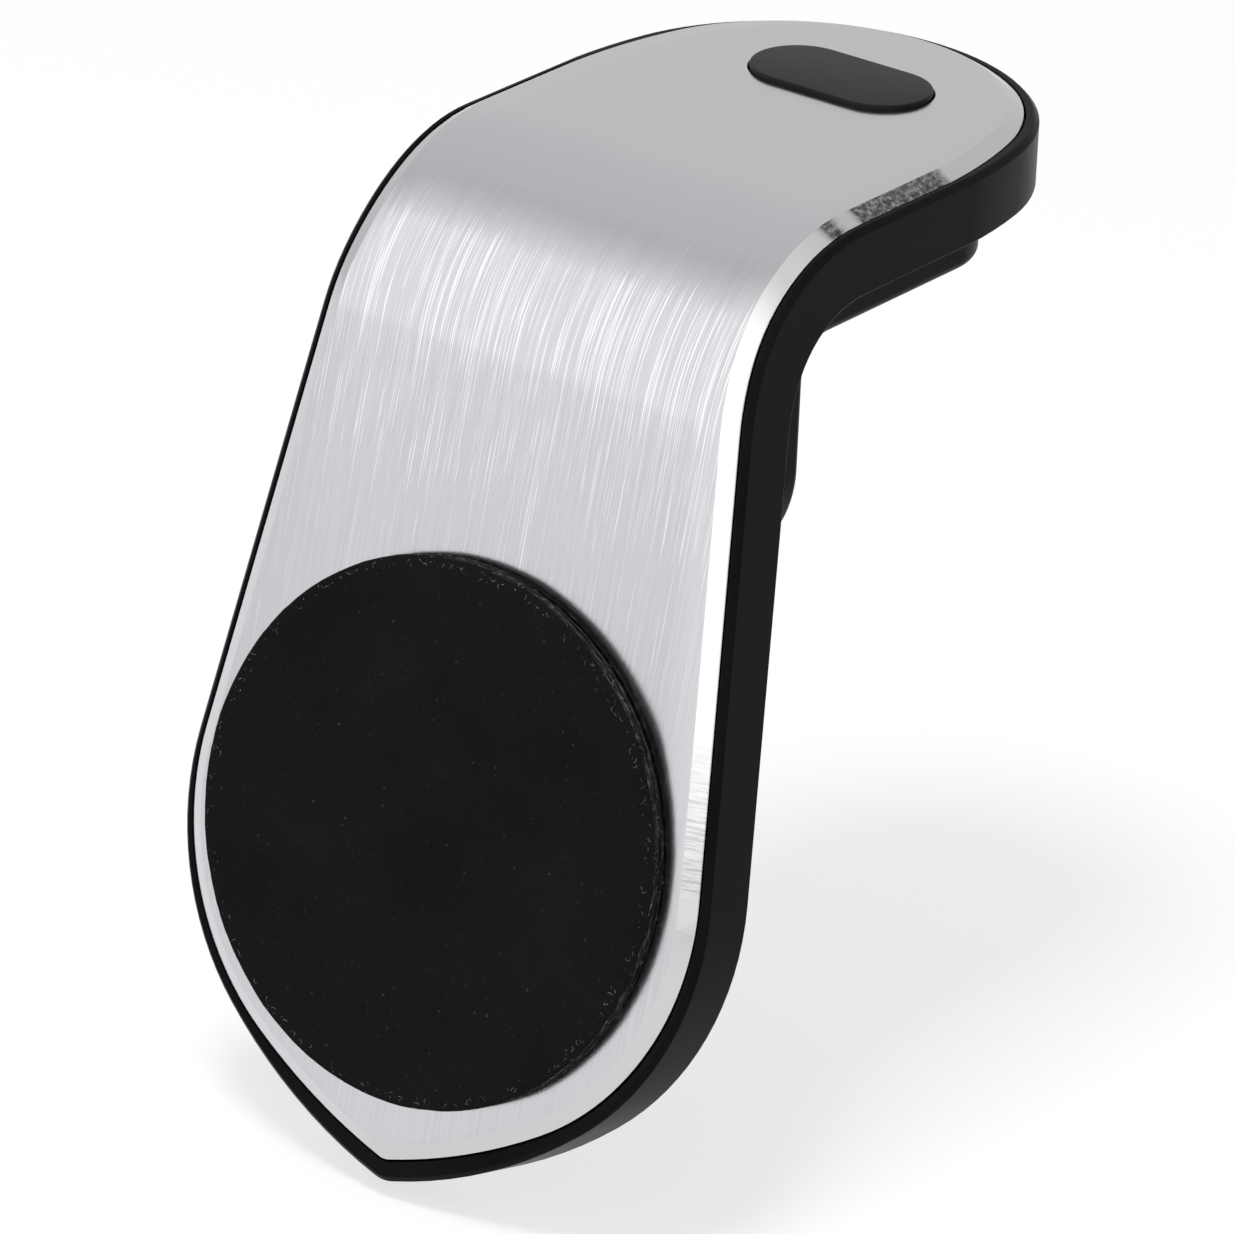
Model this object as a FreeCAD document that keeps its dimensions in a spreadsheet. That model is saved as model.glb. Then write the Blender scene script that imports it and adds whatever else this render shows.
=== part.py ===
import FreeCAD, Part
import math
import os

# Vent mount for a phone: an L-shaped body with a magnetic face on the long arm,
# and a sprung peg clip in the inner corner that grips one blade of an air vent.
# Units are millimetres. Z is up, +Y runs along the short arm, the face looks to -Y.
# The origin is the middle of the slot that the vent blade goes into.

os.makedirs("parts", exist_ok=True)
doc = FreeCAD.newDocument("VentMount")
V = FreeCAD.Vector
ROT_X = V(1, 0, 0)

# ---------------------------------------------------------------- dimensions
DIMENSIONS = {
    "bendRadius": 13.5,        # at the foot of the face plate's bevel
    "bendTurn": 76.26,         # degrees turned between the two arms
    "longArm": 53.16,          # straight length of the long arm
    "headEnd": 19.85,          # far end of the plate on the short arm
    "neckHalf": 15.5,          # half-width of the plate on the short arm
    "rimHeadEnd": 20.75,
    "rimNeckHalf": 16.27,
    "slotAhead": 10.0,         # slot centre, forward of the bend's end
    "slotBelow": 6.0,          # slot centre, below the plate's bevel foot
    "plateProud": 0.65,        # plate face above the bevel foot
    "bevelWide": 1.1,
    "plateBack": 0.35,         # plate back below the bevel foot
    "tapeThick": 0.15,
    "rimGap": 0.12,
    "rimSoft": 0.35,
    "frameBack": 4.65,         # depth of the frame's wall
    "backSoft": 0.1,
    "ledge": 3.4,              # depth of the ledge that the rear cover rests on
    "coverBack": 4.5,          # depth of the rear cover's outside
    "coverGap": 0.06,
    "wall": 1.1,
    "puckRadius": 16.6,
    "puckFlange": 17.4,
    "padRadius": 18.0,
    "padThick": 1.5,
    "padUp": 22.43,            # pad centre above the lower tip
    "magnetRadius": 4.0,
    "magnetThick": 2.6,
    "magnetRing": 10.6,
    "ironThick": 0.7,
    "thumbAhead": 18.95,
    "thumbAcross": 0.5,
    "thumbLong": 13.5,
    "thumbWide": 7.2,
    "thumbProud": 0.35,
    "clipHalf": 12.8,
    "clipThick": 1.72,
    "clipSoft": 0.8,
    "clipBend": 2.5,
    "jawReach": 22.0,
    "jawRound": 5.9,
    "tailBack": 0.86,          # rear of the tail, behind the bend's end
    "tailReach": 25.74,
    "tailRound": 8.5,
    "stopHigh": 3.53,
    "pinAhead": -3.6,
    "pinBelow": 8.9,
    "pinRadius": 0.8,
    "pinBore": 0.85,
    "knuckleRadius": 2.1,
    "knuckleFrom": 10.4,
    "lugFrom": 7.9,
    "lugTo": 10.1,
    "coilRadius": 1.55,
    "wireRadius": 0.3,
    "coilPitch": 1.1,
    "screwHead": 1.6,
    "screwHeadHigh": 0.8,
    "screwShank": 0.8,
    "screwLong": 2.9,
}

sheet = doc.addObject("Spreadsheet::Sheet", "Dimensions")
for row, (name, value) in enumerate(DIMENSIONS.items(), start=1):
    sheet.set(f"A{row}", name)
    sheet.set(f"B{row}", str(value))
    sheet.setAlias(f"B{row}", name)
doc.recompute()


def dim(name):
    return float(sheet.get(name))


turn = math.radians(dim("bendTurn"))
bendR = dim("bendRadius")
bendY = -dim("slotAhead")
bendZ = dim("slotBelow") - bendR
faceTilt = 90.0 - dim("bendTurn")
armDown = V(0, -math.cos(turn), -math.sin(turn))
faceOut = V(0, -math.sin(turn), math.cos(turn))
bendAt = V(0, bendY, bendZ)
tipAt = bendAt + faceOut * bendR + armDown * dim("longArm")


def onFace(x, up, level):
    """Point on the long arm: up from the lower tip, level out of the face."""
    return tipAt + V(x, 0, 0) - armDown * up + faceOut * level


def onTop(x, ahead, level):
    """Point on the short arm: ahead of the bend's end, level above its face."""
    return V(x, bendY + ahead, dim("slotBelow") + level)


# Turns a flat drawing (x, up) so that it lies in the long arm's face.
faceTurn = FreeCAD.Rotation(ROT_X, 90.0 - faceTilt)
facePlace = FreeCAD.Placement(tipAt, faceTurn)


def facePlaceAt(up, level):
    return FreeCAD.Placement(onFace(0, up, level), faceTurn)


# ---------------------------------------------------------------- sketching
def line(x1, y1, x2, y2):
    return Part.LineSegment(V(x1, y1, 0), V(x2, y2, 0))


def arc(cx, cy, r, start, end):
    """Arc drawn anticlockwise between two angles in degrees."""
    circle = Part.Circle(V(cx, cy, 0), V(0, 0, 1), r)
    return Part.ArcOfCircle(circle, math.radians(start), math.radians(end))


def circle(cx, cy, r):
    return Part.Circle(V(cx, cy, 0), V(0, 0, 1), r)


def rectangle(x1, y1, x2, y2):
    return [line(x1, y1, x2, y1), line(x2, y1, x2, y2), line(x2, y2, x1, y2), line(x1, y2, x1, y1)]


def addSketch(body, name, geometry, plane, place):
    sketch = body.newObject("Sketcher::SketchObject", name)
    support = [f for f in body.Origin.OriginFeatures if f.Role == plane][0]
    sketch.AttachmentSupport = [(support, "")]
    sketch.MapMode = "FlatFace"
    sketch.AttachmentOffset = place
    sketch.addGeometry(geometry, False)
    return sketch


def addPad(body, name, sketch, length, both=False):
    pad = body.newObject("PartDesign::Pad", name)
    pad.Profile = sketch
    pad.SideType = "Symmetric" if both else "One side"
    pad.setExpression("Length", length)
    sketch.Visibility = False
    return pad


def addPocket(body, name, sketch, length=None, both=False, flip=False):
    before = body.Shape.Volume
    pocket = body.newObject("PartDesign::Pocket", name)
    pocket.Profile = sketch
    pocket.Reversed = flip
    pocket.SideType = "Symmetric" if both else "One side"
    if length:
        pocket.setExpression("Length", length)
    else:
        pocket.Type = "ThroughAll"
    doc.recompute()
    if not body.Shape.Volume < before - 1e-6:
        raise RuntimeError(f"{body.Name}.{name} removed nothing")
    return pocket


def newBody(name):
    body = doc.addObject("PartDesign::Body", name)
    body.Label = name
    return body


flat = FreeCAD.Placement()
subParts = []


def keep(obj, name):
    obj.Label = name
    subParts.append(obj)
    return obj


# ---------------------------------------------------------------- arm outlines
# Half of an outline is a shallow tip arc, a shoulder arc, a straight taper and a
# hollow arc into the parallel neck; the head ends in an arch of three arcs. Every
# layer inside the rim follows the plate, grown or shrunk about the same centres.
PLATE = {
    "shoulder": (1.16, 21.32, 19.1),
    "tipRadius": 43.0,
    "tipRound": 1.5,
    "tipDrop": 0.0,
    "neck": dim("neckHalf"),
    "headFrom": -1.5,
    "headEnd": dim("headEnd"),
}
RIM = {
    "shoulder": (1.35, 20.91, 19.64),
    "tipRadius": 35.2,
    "tipRound": 2.4,
    "tipDrop": 1.5,
    "neck": dim("rimNeckHalf"),
    "headFrom": 0.0,
    "headEnd": dim("rimHeadEnd"),
}
TAPER = 7.0
HOLLOW = 60.0
NECK_TOP = 110.0
HEAD_SIDE = 40.0


def faceOutline(style, grow):
    """Closed outline of the long arm and neck, grown outward by grow."""
    sx, sy, sr = style["shoulder"]
    drop = style["tipDrop"]
    tipR = style["tipRadius"]
    tipRound = style["tipRound"]
    high = sy + drop
    gap = tipR - sr
    # centre of the tip arc, touching the shoulder arc and the tip point
    k = (tipR ** 2 - gap ** 2 + sx ** 2 + high ** 2) / (2 * high)
    slope = sx / high
    a = 1 + slope ** 2
    b = -2 * k * slope
    c = k ** 2 - tipR ** 2
    tx = (-b - math.sqrt(b ** 2 - 4 * a * c)) / (2 * a)
    ty = k - slope * tx - drop
    # small round between the two tip arcs
    ry = ty - math.sqrt((tipR - tipRound) ** 2 - tx ** 2)
    tipTurn = math.degrees(math.atan2(-tx, ty - ry))
    join = math.degrees(math.atan2(sy - ty, sx - tx))
    taper = math.radians(TAPER)
    shoulderEnd = V(sx + (sr + grow) * math.cos(taper), sy + (sr + grow) * math.sin(taper), 0)
    neck = style["neck"] + grow
    hollow = HOLLOW - grow
    hollowFrom = neck + hollow * (1 - math.cos(taper))
    rise = (shoulderEnd.x - hollowFrom) / math.tan(taper)
    hollowY = shoulderEnd.y + rise + hollow * math.sin(taper)
    return [
        arc(0, ry, tipRound + grow, 270 - tipTurn, 270 + tipTurn),
        arc(tx, ty, tipR + grow, 270 + tipTurn, 360 + join),
        arc(sx, sy, sr + grow, join, TAPER),
        line(shoulderEnd.x, shoulderEnd.y, hollowFrom, shoulderEnd.y + rise),
        arc(neck + hollow, hollowY, hollow, 180, 180 + TAPER),
        line(neck, hollowY, neck, NECK_TOP),
        line(neck, NECK_TOP, -neck, NECK_TOP),
        line(-neck, NECK_TOP, -neck, hollowY),
        arc(-neck - hollow, hollowY, hollow, -TAPER, 0),
        line(-hollowFrom, shoulderEnd.y + rise, -shoulderEnd.x, shoulderEnd.y),
        arc(-sx, sy, sr + grow, 180 - TAPER, 180 - join),
        arc(-tx, ty, tipR + grow, 180 - join, 270 - tipTurn),
    ]


def headOutline(style, grow):
    """Everything beyond the arch that ends the head."""
    # a hair wider than the neck, so that the arch crosses the sides cleanly
    half = style["neck"] * 1.0025
    start = style["headFrom"]
    span = style["headEnd"] - start
    r = (2 * HEAD_SIDE * half - half ** 2 - span ** 2) / (2 * (HEAD_SIDE - span))
    centre = style["headEnd"] - r
    turnBy = math.degrees(math.atan2(centre - start, HEAD_SIDE - half))
    wide = half + grow
    return [
        line(-40, start, -wide, start),
        arc(HEAD_SIDE - half, start, HEAD_SIDE + grow, 180 - turnBy, 180),
        arc(0, centre, r + grow, turnBy, 180 - turnBy),
        arc(half - HEAD_SIDE, start, HEAD_SIDE + grow, 0, turnBy),
        line(wide, start, 40, start),
        line(40, start, 40, 60),
        line(40, 60, -40, 60),
        line(-40, 60, -40, start),
    ]


def bandProfile(outer, inner):
    """L-shaped band between two levels, drawn about the bend centre (y, z)."""
    ro = bendR + outer
    ri = bendR + inner
    reach = 45.0
    low = dim("longArm") + 8
    side = V(-math.sin(turn), math.cos(turn), 0)
    down = V(-math.cos(turn), -math.sin(turn), 0)
    o1 = side * ro
    i1 = side * ri
    o2 = o1 + down * low
    i2 = i1 + down * low
    start = math.degrees(math.atan2(side.y, side.x))
    return [
        line(0, ro, reach, ro),
        line(reach, ro, reach, ri),
        line(reach, ri, 0, ri),
        arc(0, 0, ri, 90, start),
        line(i1.x, i1.y, i2.x, i2.y),
        line(i2.x, i2.y, o2.x, o2.y),
        line(o2.x, o2.y, o1.x, o1.y),
        arc(0, 0, ro, 90, start),
    ]


def armLayer(name, outer, inner, grow, style=PLATE):
    """One L-shaped layer of the body between two levels, as its own body."""
    body = newBody(name)
    band = addSketch(body, name + "_band", bandProfile(outer, inner), "YZ_Plane",
                     FreeCAD.Placement(V(bendY, bendZ, 0), FreeCAD.Rotation()))
    addPad(body, name + "_bend", band, "60", both=True)
    doc.recompute()
    big = rectangle(-40, -20, 40, 130)
    front = addSketch(body, name + "_front", big + faceOutline(style, grow), "XY_Plane", facePlace)
    addPocket(body, name + "_trim", front, "160", both=True)
    head = addSketch(body, name + "_head", headOutline(style, grow), "XY_Plane", flat)
    addPocket(body, name + "_end", head, "40", both=True)
    return body


def faceHole(body, name, radius, fromLevel, depth):
    """Round pocket at the pad's centre, starting at a level of the long arm's face."""
    hole = addSketch(body, name + "_sketch", [circle(0, 0, radius)], "XY_Plane",
                     facePlaceAt(dim("padUp"), fromLevel))
    addPocket(body, name, hole, str(depth))


def slot(grow):
    """Outline of the thumb pad, lying across the short arm."""
    cx = dim("thumbAcross")
    cy = bendY + dim("thumbAhead")
    r = dim("thumbWide") / 2 + grow
    run = (dim("thumbLong") - dim("thumbWide")) / 2
    return [
        line(cx - run, cy - r, cx + run, cy - r),
        arc(cx + run, cy, r, -90, 90),
        line(cx + run, cy + r, cx - run, cy + r),
        arc(cx - run, cy, r, 90, 270),
    ]


def edgesWhere(shape, test):
    return [f"Edge{i + 1}" for i, e in enumerate(shape.Edges) if test(e)]


def dress(body, kind, name, edges, size, across=None):
    """Chamfer or fillet on named edges; sizes are sheet values."""
    base = body.Tip
    feature = body.newObject("PartDesign::" + kind, name)
    feature.Base = (base, edges)
    feature.setExpression("Size" if kind == "Chamfer" else "Radius", size)
    if across:
        feature.ChamferType = "Two distances"
        feature.setExpression("Size2", across)
    doc.recompute()
    return feature


def levelOf(point):
    """Height of a point above the bevel-foot surface, anywhere along the L."""
    p = point - bendAt
    p.x = 0
    if p.y >= 0:
        return p.z - bendR
    along = p.dot(armDown)
    if along >= 0:
        return p.dot(faceOut) - bendR
    return p.Length - bendR


def atLevel(edge, level):
    points = [edge.valueAt(edge.FirstParameter + (edge.LastParameter - edge.FirstParameter) * k / 4)
              for k in range(5)]
    return all(abs(levelOf(p) - level) < 0.02 for p in points)


# ---------------------------------------------------------------- face plate
proud = dim("plateProud")
plate = armLayer("face_plate", proud, -dim("plateBack"), 0)
dress(plate, "Chamfer", "plate_bevel",
      edgesWhere(plate.Shape, lambda e: atLevel(e, proud)), "Dimensions.bevelWide",
      across="Dimensions.plateProud")
faceHole(plate, "plate_window", dim("puckRadius") + 0.1, proud, 3)
pill = addSketch(plate, "thumb_window", slot(0), "XY_Plane",
                 FreeCAD.Placement(V(0, 0, dim("slotBelow") + 2), FreeCAD.Rotation()))
addPocket(plate, "thumb_slot", pill, "4")
keep(plate, "face_plate")

# ---------------------------------------------------------------- adhesive film
tapeTop = -dim("plateBack")
tapeBack = tapeTop - dim("tapeThick")
tape = armLayer("plate_adhesive", tapeTop, tapeBack, -0.6)
faceHole(tape, "tape_window", dim("puckRadius") + 0.4, 0, 3)
pill = addSketch(tape, "tape_thumb", slot(0.4), "XY_Plane",
                 FreeCAD.Placement(V(0, 0, dim("slotBelow") + 2), FreeCAD.Rotation()))
addPocket(tape, "tape_slot", pill, "5")
keep(tape, "plate_adhesive")

# ---------------------------------------------------------------- boolean helpers
def cutAll(name, base, tools):
    """Base minus every tool, as Part booleans."""
    joined = tools[0]
    if len(tools) > 1:
        joined = doc.addObject("Part::MultiFuse", name + "_tools")
        joined.Shapes = tools
    cut = doc.addObject("Part::Cut", name)
    cut.Base = base
    cut.Tool = joined
    doc.recompute()
    if not cut.Shape.Volume < base.Shape.Volume - 1e-6:
        raise RuntimeError(f"{name} removed nothing")
    return cut


def fuseAll(name, pieces):
    fused = doc.addObject("Part::MultiFuse", name)
    fused.Shapes = pieces
    fused.Refine = True
    doc.recompute()
    return fused


def cylinder(name, radius, height, base, direction):
    """Cylinder from a base point along a direction."""
    rod = doc.addObject("Part::Cylinder", name)
    for prop, value in (("Radius", radius), ("Height", height)):
        if isinstance(value, str):
            rod.setExpression(prop, value)
        else:
            setattr(rod, prop, value)
    rod.Placement = FreeCAD.Placement(base, FreeCAD.Rotation(V(0, 0, 1), direction))
    return rod


def alongX(name, radius, fromX, toX, at):
    return cylinder(name, radius, toX - fromX, V(fromX, at.y, at.z), V(1, 0, 0))


def sideProfile(name, geometry, fromX, toX):
    """Body padded along X from a drawing in the side plane (y, z)."""
    body = newBody(name)
    place = FreeCAD.Placement(V(0, 0, fromX), FreeCAD.Rotation())
    sketch = addSketch(body, name + "_side", geometry, "YZ_Plane", place)
    addPad(body, name + "_pad", sketch, str(toX - fromX))
    doc.recompute()
    return body


# ---------------------------------------------------------------- magnet puck
padUp = dim("padUp")
floorBack = tapeBack - dim("wall")
parting = -dim("ledge")
ironTop = parting + dim("ironThick")
magnetTop = ironTop + dim("magnetThick")


def spin(radius, count):
    """Ring of (x, up) points round the pad centre."""
    steps = [math.radians(90 + 360 * k / count) for k in range(count)]
    return [(radius * math.cos(a), padUp + radius * math.sin(a)) for a in steps]


magnetSpots = [(0, padUp)] + spin(dim("magnetRing"), 6)

hub = cylinder("carrier_hub", "Dimensions.puckRadius", proud - 0.05 - parting,
               onFace(0, padUp, parting), faceOut)
flange = cylinder("carrier_flange", "Dimensions.puckFlange", floorBack - parting,
                  onFace(0, padUp, parting), faceOut)
ironBed = cylinder("carrier_iron_bed", dim("puckRadius") - 0.8, dim("ironThick") + 1,
                   onFace(0, padUp, parting - 1), faceOut)
beds = [ironBed]
for k, (x, up) in enumerate(magnetSpots):
    beds.append(cylinder(f"carrier_bed_{k}", dim("magnetRadius") + 0.05, magnetTop + 0.05 - ironTop + 0.5,
                         onFace(x, up, ironTop - 0.5), faceOut))
carrier = cutAll("magnet_carrier", fuseAll("carrier_blank", [hub, flange]), beds)
keep(carrier, "magnet_carrier")

discs = [cylinder(f"magnet_{k}", "Dimensions.magnetRadius", "Dimensions.magnetThick",
                  onFace(x, up, ironTop), faceOut) for k, (x, up) in enumerate(magnetSpots)]
magnets = doc.addObject("Part::Compound", "magnets")
magnets.Links = discs
keep(magnets, "magnets")

iron = cylinder("back_iron", dim("puckRadius") - 0.9, "Dimensions.ironThick",
                onFace(0, padUp, parting), faceOut)
keep(iron, "back_iron")

# ---------------------------------------------------------------- contact pad
glueTop = proud + 0.15
backingTop = glueTop + 0.35
padTop = proud + dim("padThick")
padGlue = cylinder("pad_adhesive", dim("padRadius") - 0.5, 0.15, onFace(0, padUp, proud), faceOut)
keep(padGlue, "pad_adhesive")
backing = cylinder("pad_backing", dim("padRadius") - 0.25, 0.35, onFace(0, padUp, glueTop), faceOut)
keep(backing, "pad_backing")
rubberBlank = cylinder("pad_rubber", "Dimensions.padRadius", padTop - backingTop,
                       onFace(0, padUp, backingTop), faceOut)
doc.recompute()
rubber = doc.addObject("Part::Fillet", "contact_pad")
rubber.Base = rubberBlank
rubber.Edges = [(i + 1, 0.25, 0.25) for i, e in enumerate(rubberBlank.Shape.Edges)
                if e.Closed and abs(levelOf(e.valueAt(e.FirstParameter)) - padTop) < 0.01]
doc.recompute()
keep(rubber, "contact_pad")

# ---------------------------------------------------------------- thumb pad
thumb = newBody("thumb_pad")
thumbShape = addSketch(thumb, "thumb_outline", slot(-0.1), "XY_Plane",
                       FreeCAD.Placement(V(0, 0, dim("slotBelow") + tapeBack), FreeCAD.Rotation()))
addPad(thumb, "thumb_height", thumbShape, str(proud + dim("thumbProud") - tapeBack))
doc.recompute()
dress(thumb, "Fillet", "thumb_soft",
      edgesWhere(thumb.Shape, lambda e: atLevel(e, proud + dim("thumbProud"))), "0.12")
keep(thumb, "thumb_pad")

# ---------------------------------------------------------------- front frame
screwSpots = [
    (onFace(0, 3.1, 0), faceOut),
    (onFace(-11.5, 44.5, 0), faceOut),
    (onFace(11.5, 44.5, 0), faceOut),
    (onTop(0, 25.4, 0), V(0, 0, 1)),
]
back = -dim("frameBack")
coverBack = -dim("coverBack")
headTop = coverBack + dim("screwHeadHigh") + 0.05
screwTip = headTop + dim("screwLong")

outer = armLayer("frame_block", 0, back, 0, RIM)
dress(outer, "Chamfer", "rim_soft",
      edgesWhere(outer.Shape, lambda e: atLevel(e, 0)), "Dimensions.rimSoft")
dress(outer, "Chamfer", "back_soft",
      edgesWhere(outer.Shape, lambda e: atLevel(e, back)), "Dimensions.backSoft")
recess = armLayer("frame_recess", 2, tapeBack, dim("rimGap"))
hollow = armLayer("frame_hollow", floorBack, back - 2, -0.4)
rebate = armLayer("frame_rebate", parting, back - 2, 0)
window = cylinder("frame_window", dim("puckRadius") + 0.1, 6, onFace(0, padUp, -4), faceOut)
shell = cutAll("frame_shell", outer, [recess, hollow, rebate, window])
bosses = [cylinder(f"boss_{k}", 1.7, floorBack + 0.2 - parting, at + out * parting, out)
          for k, (at, out) in enumerate(screwSpots)]
pilots = [cylinder(f"pilot_{k}", dim("screwShank") + 0.02, screwTip + 0.1 - parting + 1,
                   at + out * (parting - 1), out)
          for k, (at, out) in enumerate(screwSpots)]
frame = cutAll("front_frame", fuseAll("frame_bossed", [shell] + bosses), pilots)
keep(frame, "front_frame")

# ---------------------------------------------------------------- rear cover
pinAt = V(0, bendY + dim("pinAhead"), dim("slotBelow") - dim("pinBelow"))
toPin = pinAt - bendAt
pinAngle = math.degrees(math.atan2(toPin.z, toPin.y))


def lugProfile():
    """Lug round the pin that widens into the inside of the bend."""
    out = V(toPin.y, toPin.z, 0).normalize()
    side = V(-out.y, out.x, 0)
    pin = V(pinAt.y, pinAt.z, 0)
    centre = V(bendY, bendZ, 0)
    root = centre + out * (bendR + coverBack + 0.6)
    r = dim("knuckleRadius")
    a = pin - side * r
    b = root - side * (r + 0.7)
    c = root + side * (r + 0.7)
    d = pin + side * r
    return [
        line(a.x, a.y, b.x, b.y),
        line(b.x, b.y, c.x, c.y),
        line(c.x, c.y, d.x, d.y),
        arc(pin.x, pin.y, r, pinAngle + 90, pinAngle + 270),
    ]


coverBlock = armLayer("cover_block", parting, coverBack, -dim("coverGap"))
lugs = []
for side in (-1, 1):
    ends = sorted((side * dim("lugFrom"), side * dim("lugTo")))
    lugs.append(sideProfile(f"lug_{'left' if side < 0 else 'right'}", lugProfile(), *ends))
stops = []
for side in (-1, 1):
    rib = doc.addObject("Part::Box", f"stop_rib_{'left' if side < 0 else 'right'}")
    rib.Length = 1.6
    rib.Width = 3.6
    rib.setExpression("Height", "Dimensions.stopHigh + 0.3")
    corner = onFace(side * 7.0 - 0.8, 43.6, coverBack - dim("stopHigh"))
    rib.Placement = FreeCAD.Placement(corner, faceTurn)
    stops.append(rib)
blank = fuseAll("cover_blank", [coverBlock] + lugs + stops)
holes = [alongX("lug_bore", dim("pinRadius") + 0.02, -12.0, 12.0, pinAt)]
for k, (at, out) in enumerate(screwSpots):
    holes.append(cylinder(f"cover_hole_{k}", dim("screwShank") + 0.1, 4, at + out * (coverBack - 1), out))
    holes.append(cylinder(f"cover_bed_{k}", dim("screwHead") + 0.1, headTop - coverBack + 1,
                          at + out * (coverBack - 1), out))
cover = cutAll("rear_cover", blank, holes)
keep(cover, "rear_cover")

screws = []
for k, (at, out) in enumerate(screwSpots):
    head = cylinder(f"screw_head_{k}", "Dimensions.screwHead", "Dimensions.screwHeadHigh",
                    at + out * (headTop - dim("screwHeadHigh")), out)
    shank = cylinder(f"screw_shank_{k}", "Dimensions.screwShank", dim("screwLong") + 0.2,
                     at + out * (headTop - 0.2), out)
    hex_ = doc.addObject("Part::Prism", f"screw_socket_{k}")
    hex_.Polygon = 6
    hex_.Circumradius = 0.8
    hex_.Height = 1.45
    hex_.Placement = FreeCAD.Placement(at + out * (headTop - dim("screwHeadHigh") - 1),
                                       FreeCAD.Rotation(V(0, 0, 1), out))
    screws.append(cutAll(f"screw_{k}", fuseAll(f"screw_blank_{k}", [head, shank]), [hex_]))
screwSet = doc.addObject("Part::Compound", "cover_screws")
screwSet.Links = screws
keep(screwSet, "cover_screws")

# ---------------------------------------------------------------- grips
def ribbed(length, base, rib, pitch, side):
    """Strip profile from (0, 0) along y with half-round ribs on one side."""
    count = int(length / pitch)
    first = (length - count * pitch) / 2
    top = side * base
    out = [line(0, 0, length, 0), line(length, 0, length, top)]
    y = length
    for k in range(count):
        centre = length - first - (k + 0.5) * pitch
        out.append(line(y, top, centre + rib, top))
        start, end = (0, 180) if side > 0 else (180, 360)
        out.append(arc(centre, top, rib, start, end))
        y = centre - rib
    out.append(line(y, top, 0, top))
    out.append(line(0, top, 0, 0))
    return out


def strip(name, length, base, rib, pitch, side, half, y, z):
    body = newBody(name)
    sketch = addSketch(body, name + "_side", ribbed(length, base, rib, pitch, side), "YZ_Plane",
                       FreeCAD.Placement(V(y, z, 0), FreeCAD.Rotation()))
    addPad(body, name + "_pad", sketch, str(2 * half), both=True)
    doc.recompute()
    return body


underside = dim("slotBelow") + coverBack
armGrip = strip("arm_grip", 15.6, 0.45, 0.35, 1.5, -1, 11.0, -7.6, underside)
keep(armGrip, "arm_grip")

# ---------------------------------------------------------------- clip lever
jawTop = -1.0
jawLow = jawTop - dim("clipThick")
tailRear = bendY - dim("tailBack")
tailFront = tailRear - dim("clipThick")
tailEnd = dim("slotBelow") - dim("tailReach")
jawEnd = bendY + dim("jawReach")
clipHalf = dim("clipHalf")
bend = dim("clipBend")


def leverProfile():
    """Side view of the L-shaped lever: jaw limb, knuckle and tail limb."""
    r = dim("knuckleRadius")
    dz = jawTop - pinAt.z
    meet = math.degrees(math.asin(dz / r))
    meetY = pinAt.y + math.sqrt(r ** 2 - dz ** 2)
    dy = pinAt.y - tailFront
    tailMeet = 180 + math.degrees(math.acos(dy / r))
    tailMeetZ = pinAt.z - math.sqrt(r ** 2 - dy ** 2)
    return [
        line(meetY, jawTop, jawEnd, jawTop),
        line(jawEnd, jawTop, jawEnd, jawLow),
        line(jawEnd, jawLow, tailRear + bend, jawLow),
        arc(tailRear + bend, jawLow - bend, bend, 90, 180),
        line(tailRear, jawLow - bend, tailRear, tailEnd),
        line(tailRear, tailEnd, tailFront, tailEnd),
        line(tailFront, tailEnd, tailFront, tailMeetZ),
        arc(pinAt.y, pinAt.z, r, meet, tailMeet),
    ]


lever = sideProfile("lever_block", leverProfile(), -clipHalf, clipHalf)
windowBox = newBody("lever_window")
windowSide = addSketch(windowBox, "lever_window_side", rectangle(-18.5, -6.6, -9.9, 1.5), "YZ_Plane", flat)
addPad(windowBox, "lever_window_pad", windowSide, "2 * Dimensions.knuckleFrom", both=True)
bore = alongX("lever_bore", dim("pinBore"), -14, 14, pinAt)


def cornerCutter(name, r, y, z, along):
    """Rounds the two outer corners of a limb seen square on."""
    body = newBody(name)
    limit = clipHalf + 1
    inner = clipHalf - r
    geometry = []
    for side in (-1, 1):
        a = side * inner
        b = side * clipHalf
        c = side * limit
        if side > 0:
            geometry.append(arc(a, -r, r, 0, 90))
        else:
            geometry.append(arc(a, -r, r, 90, 180))
        geometry.append(line(a, 0, a, 1))
        geometry.append(line(a, 1, c, 1))
        geometry.append(line(c, 1, c, -r))
        geometry.append(line(c, -r, b, -r))
    plane = "XY_Plane" if along == "y" else "XZ_Plane"
    if along == "y":
        place = FreeCAD.Placement(V(0, y, 0), FreeCAD.Rotation())
    else:
        place = FreeCAD.Placement(V(0, z, -y), FreeCAD.Rotation(V(1, 0, 0), 180))
    sketch = addSketch(body, name + "_plan", geometry, plane, place)
    addPad(body, name + "_pad", sketch, "40", both=True)
    doc.recompute()
    return body


def onSkin(edge):
    """True for the edge loop round the underside of the jaw and the rear of the tail."""
    for k in range(5):
        p = edge.valueAt(edge.FirstParameter + (edge.LastParameter - edge.FirstParameter) * k / 4)
        hub = V(0, p.y - tailRear - bend, p.z - jawLow + bend)
        onJaw = abs(p.z - jawLow) < 0.01 and hub.y > -0.01
        onTail = abs(p.y - tailRear) < 0.01 and hub.z < 0.01
        onBend = abs(hub.Length - bend) < 0.01
        if not (onJaw or onTail or onBend):
            return False
    first = edge.valueAt(edge.FirstParameter)
    last = edge.valueAt(edge.LastParameter)
    mid = (first + last) * 0.5
    crease = abs(first.x - last.x) > 20 and mid.y < jawEnd - 1 and mid.z > tailEnd + 1
    return not crease


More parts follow.
